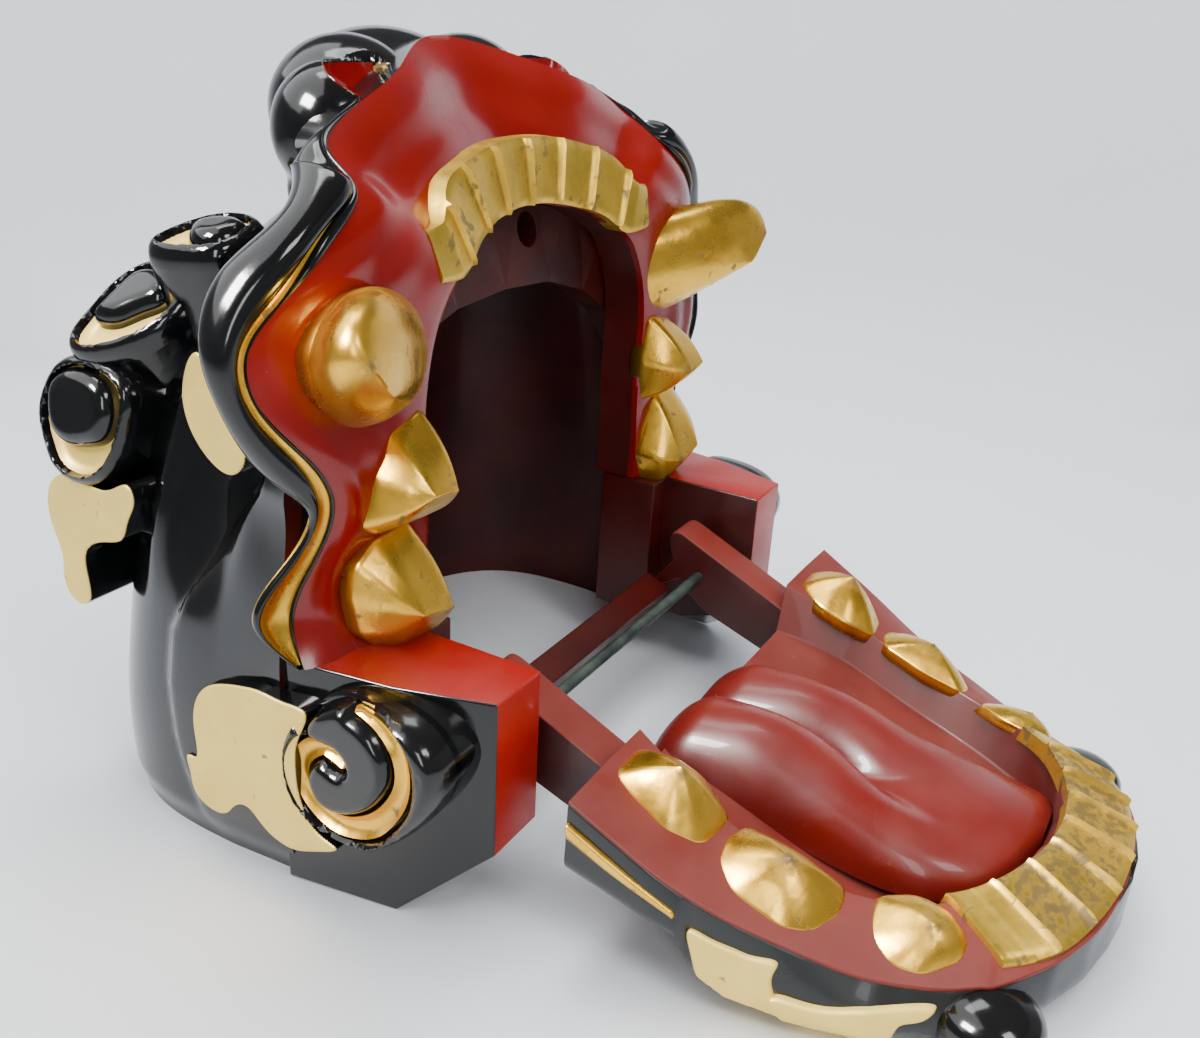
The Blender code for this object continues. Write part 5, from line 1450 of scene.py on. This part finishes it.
# Paper sweep: radius and height from the middle of the floor to the top of the wall.
SWEEP_PROFILE = ((0.0, 0.0), (0.8, 0.0), (1.6, 0.0), (1.9, 0.03), (2.15, 0.12), (2.35, 0.30),
                 (2.45, 0.60), (2.50, 1.00), (2.52, 1.50))
SWEEP_SIDES = 96
# The paper is pale on this side; elsewhere its colour is darkened as painted shade, standing for the
# dim room behind it.
SWEEP_FACING = (0.878, 0.479)


def make_sweep():
    profile = spline(SWEEP_PROFILE[2:], 40)
    profile = np.vstack([np.array(SWEEP_PROFILE[:2]), profile])
    turn = np.linspace(0.0, 2 * pi, SWEEP_SIDES, endpoint=False)
    rings = [np.column_stack([radius * np.cos(turn), radius * np.sin(turn), np.full(len(turn), z)])
             for radius, z in profile[1:]]
    verts, faces = tube(rings, caps=(True, False))
    mesh = bpy.data.meshes.new("sweep")
    mesh.from_pydata([tuple(vert) for vert in verts], [], faces)
    bm = bmesh.new()
    bm.from_mesh(mesh)
    bmesh.ops.recalc_face_normals(bm, faces=bm.faces)
    bm.to_mesh(mesh)
    bm.free()
    mesh.shade_smooth()
    material, tree, coords, shader = start_material("paper")
    split = tree.nodes.new("ShaderNodeSeparateXYZ")
    tree.links.new(coords.outputs["Object"], split.inputs["Vector"])
    x, y = split.outputs["X"], split.outputs["Y"]
    radius = math_node(tree, "SQRT", math_node(tree, "ADD", math_node(tree, "MULTIPLY", x, x),
                                               math_node(tree, "MULTIPLY", y, y)), 0.0)
    along = math_node(tree, "ADD", math_node(tree, "MULTIPLY", x, SWEEP_FACING[0]),
                      math_node(tree, "MULTIPLY", y, SWEEP_FACING[1]))
    facing = math_node(tree, "DIVIDE", along, math_node(tree, "MAXIMUM", radius, 0.01))
    # Where the paper keeps its pale colour; elsewhere the dim colour is painted shade.
    lit = math_node(tree, "MAXIMUM", ramp(tree, facing, 0.35, 0.80), ramp(tree, radius, 1.7, 0.9))
    tone = mix(tree, ramp(tree, noise(tree, coords, 3.0, 2.0), 0.3, 0.7),
               (0.80, 0.825, 0.87), (0.83, 0.85, 0.885))
    tree.links.new(mix(tree, lit, (0.16, 0.165, 0.175), tone), shader.inputs["Base Color"])
    shader.inputs["Roughness"].default_value = 0.6
    mesh.materials.append(material)
    sweep = bpy.data.objects.new("sweep", mesh)
    bpy.context.scene.collection.objects.link(sweep)


make_sweep()
world = bpy.data.worlds.new("studio")
world.use_nodes = True
world.node_tree.nodes["Background"].inputs["Color"].default_value = (0.55, 0.60, 0.68, 1.0)
world.node_tree.nodes["Background"].inputs["Strength"].default_value = 0.22
bpy.context.scene.world = world

LIGHTS = (
    # place, width, height, power, colour, shows in reflections, lights what is dull
    ((0.0, 0.0, 2.6), 3.2, 3.2, 134.0, (0.97, 0.985, 1.0), False, True),
    ((-1.2, 0.5, 1.35), 0.60, 0.40, 160.0, (1.0, 0.98, 0.95), True, False),
    ((-0.7, -1.5, 1.7), 0.60, 0.50, 16.0, (1.0, 0.99, 0.97), True, True),
    ((0.3, 0.4, 2.1), 1.2, 0.50, 20.0, (0.97, 0.99, 1.0), True, True),
    ((-1.5, -0.9, 0.9), 0.25, 0.90, 9.0, (0.97, 0.99, 1.0), True, True),
    ((-0.66, 1.1, 1.8), 2.6, 2.0, 55.0, (0.97, 0.99, 1.0), True, False),
)
for number, (place, width, height, power, colour, mirrored, lights) in enumerate(LIGHTS, start=1):
    lamp = bpy.data.lights.new("softbox_%d" % number, "AREA")
    lamp.shape = "RECTANGLE"
    lamp.size = width
    lamp.size_y = height
    lamp.energy = power
    lamp.color = colour
    holder = bpy.data.objects.new("softbox_%d" % number, lamp)
    bpy.context.scene.collection.objects.link(holder)
    holder.location = place
    aim = Vector((0.0, 0.0, 0.15)) - Vector(place)
    holder.rotation_euler = aim.to_track_quat("-Z", "Y").to_euler()
    holder.visible_glossy = mirrored
    holder.visible_diffuse = lights
    holder.visible_camera = False
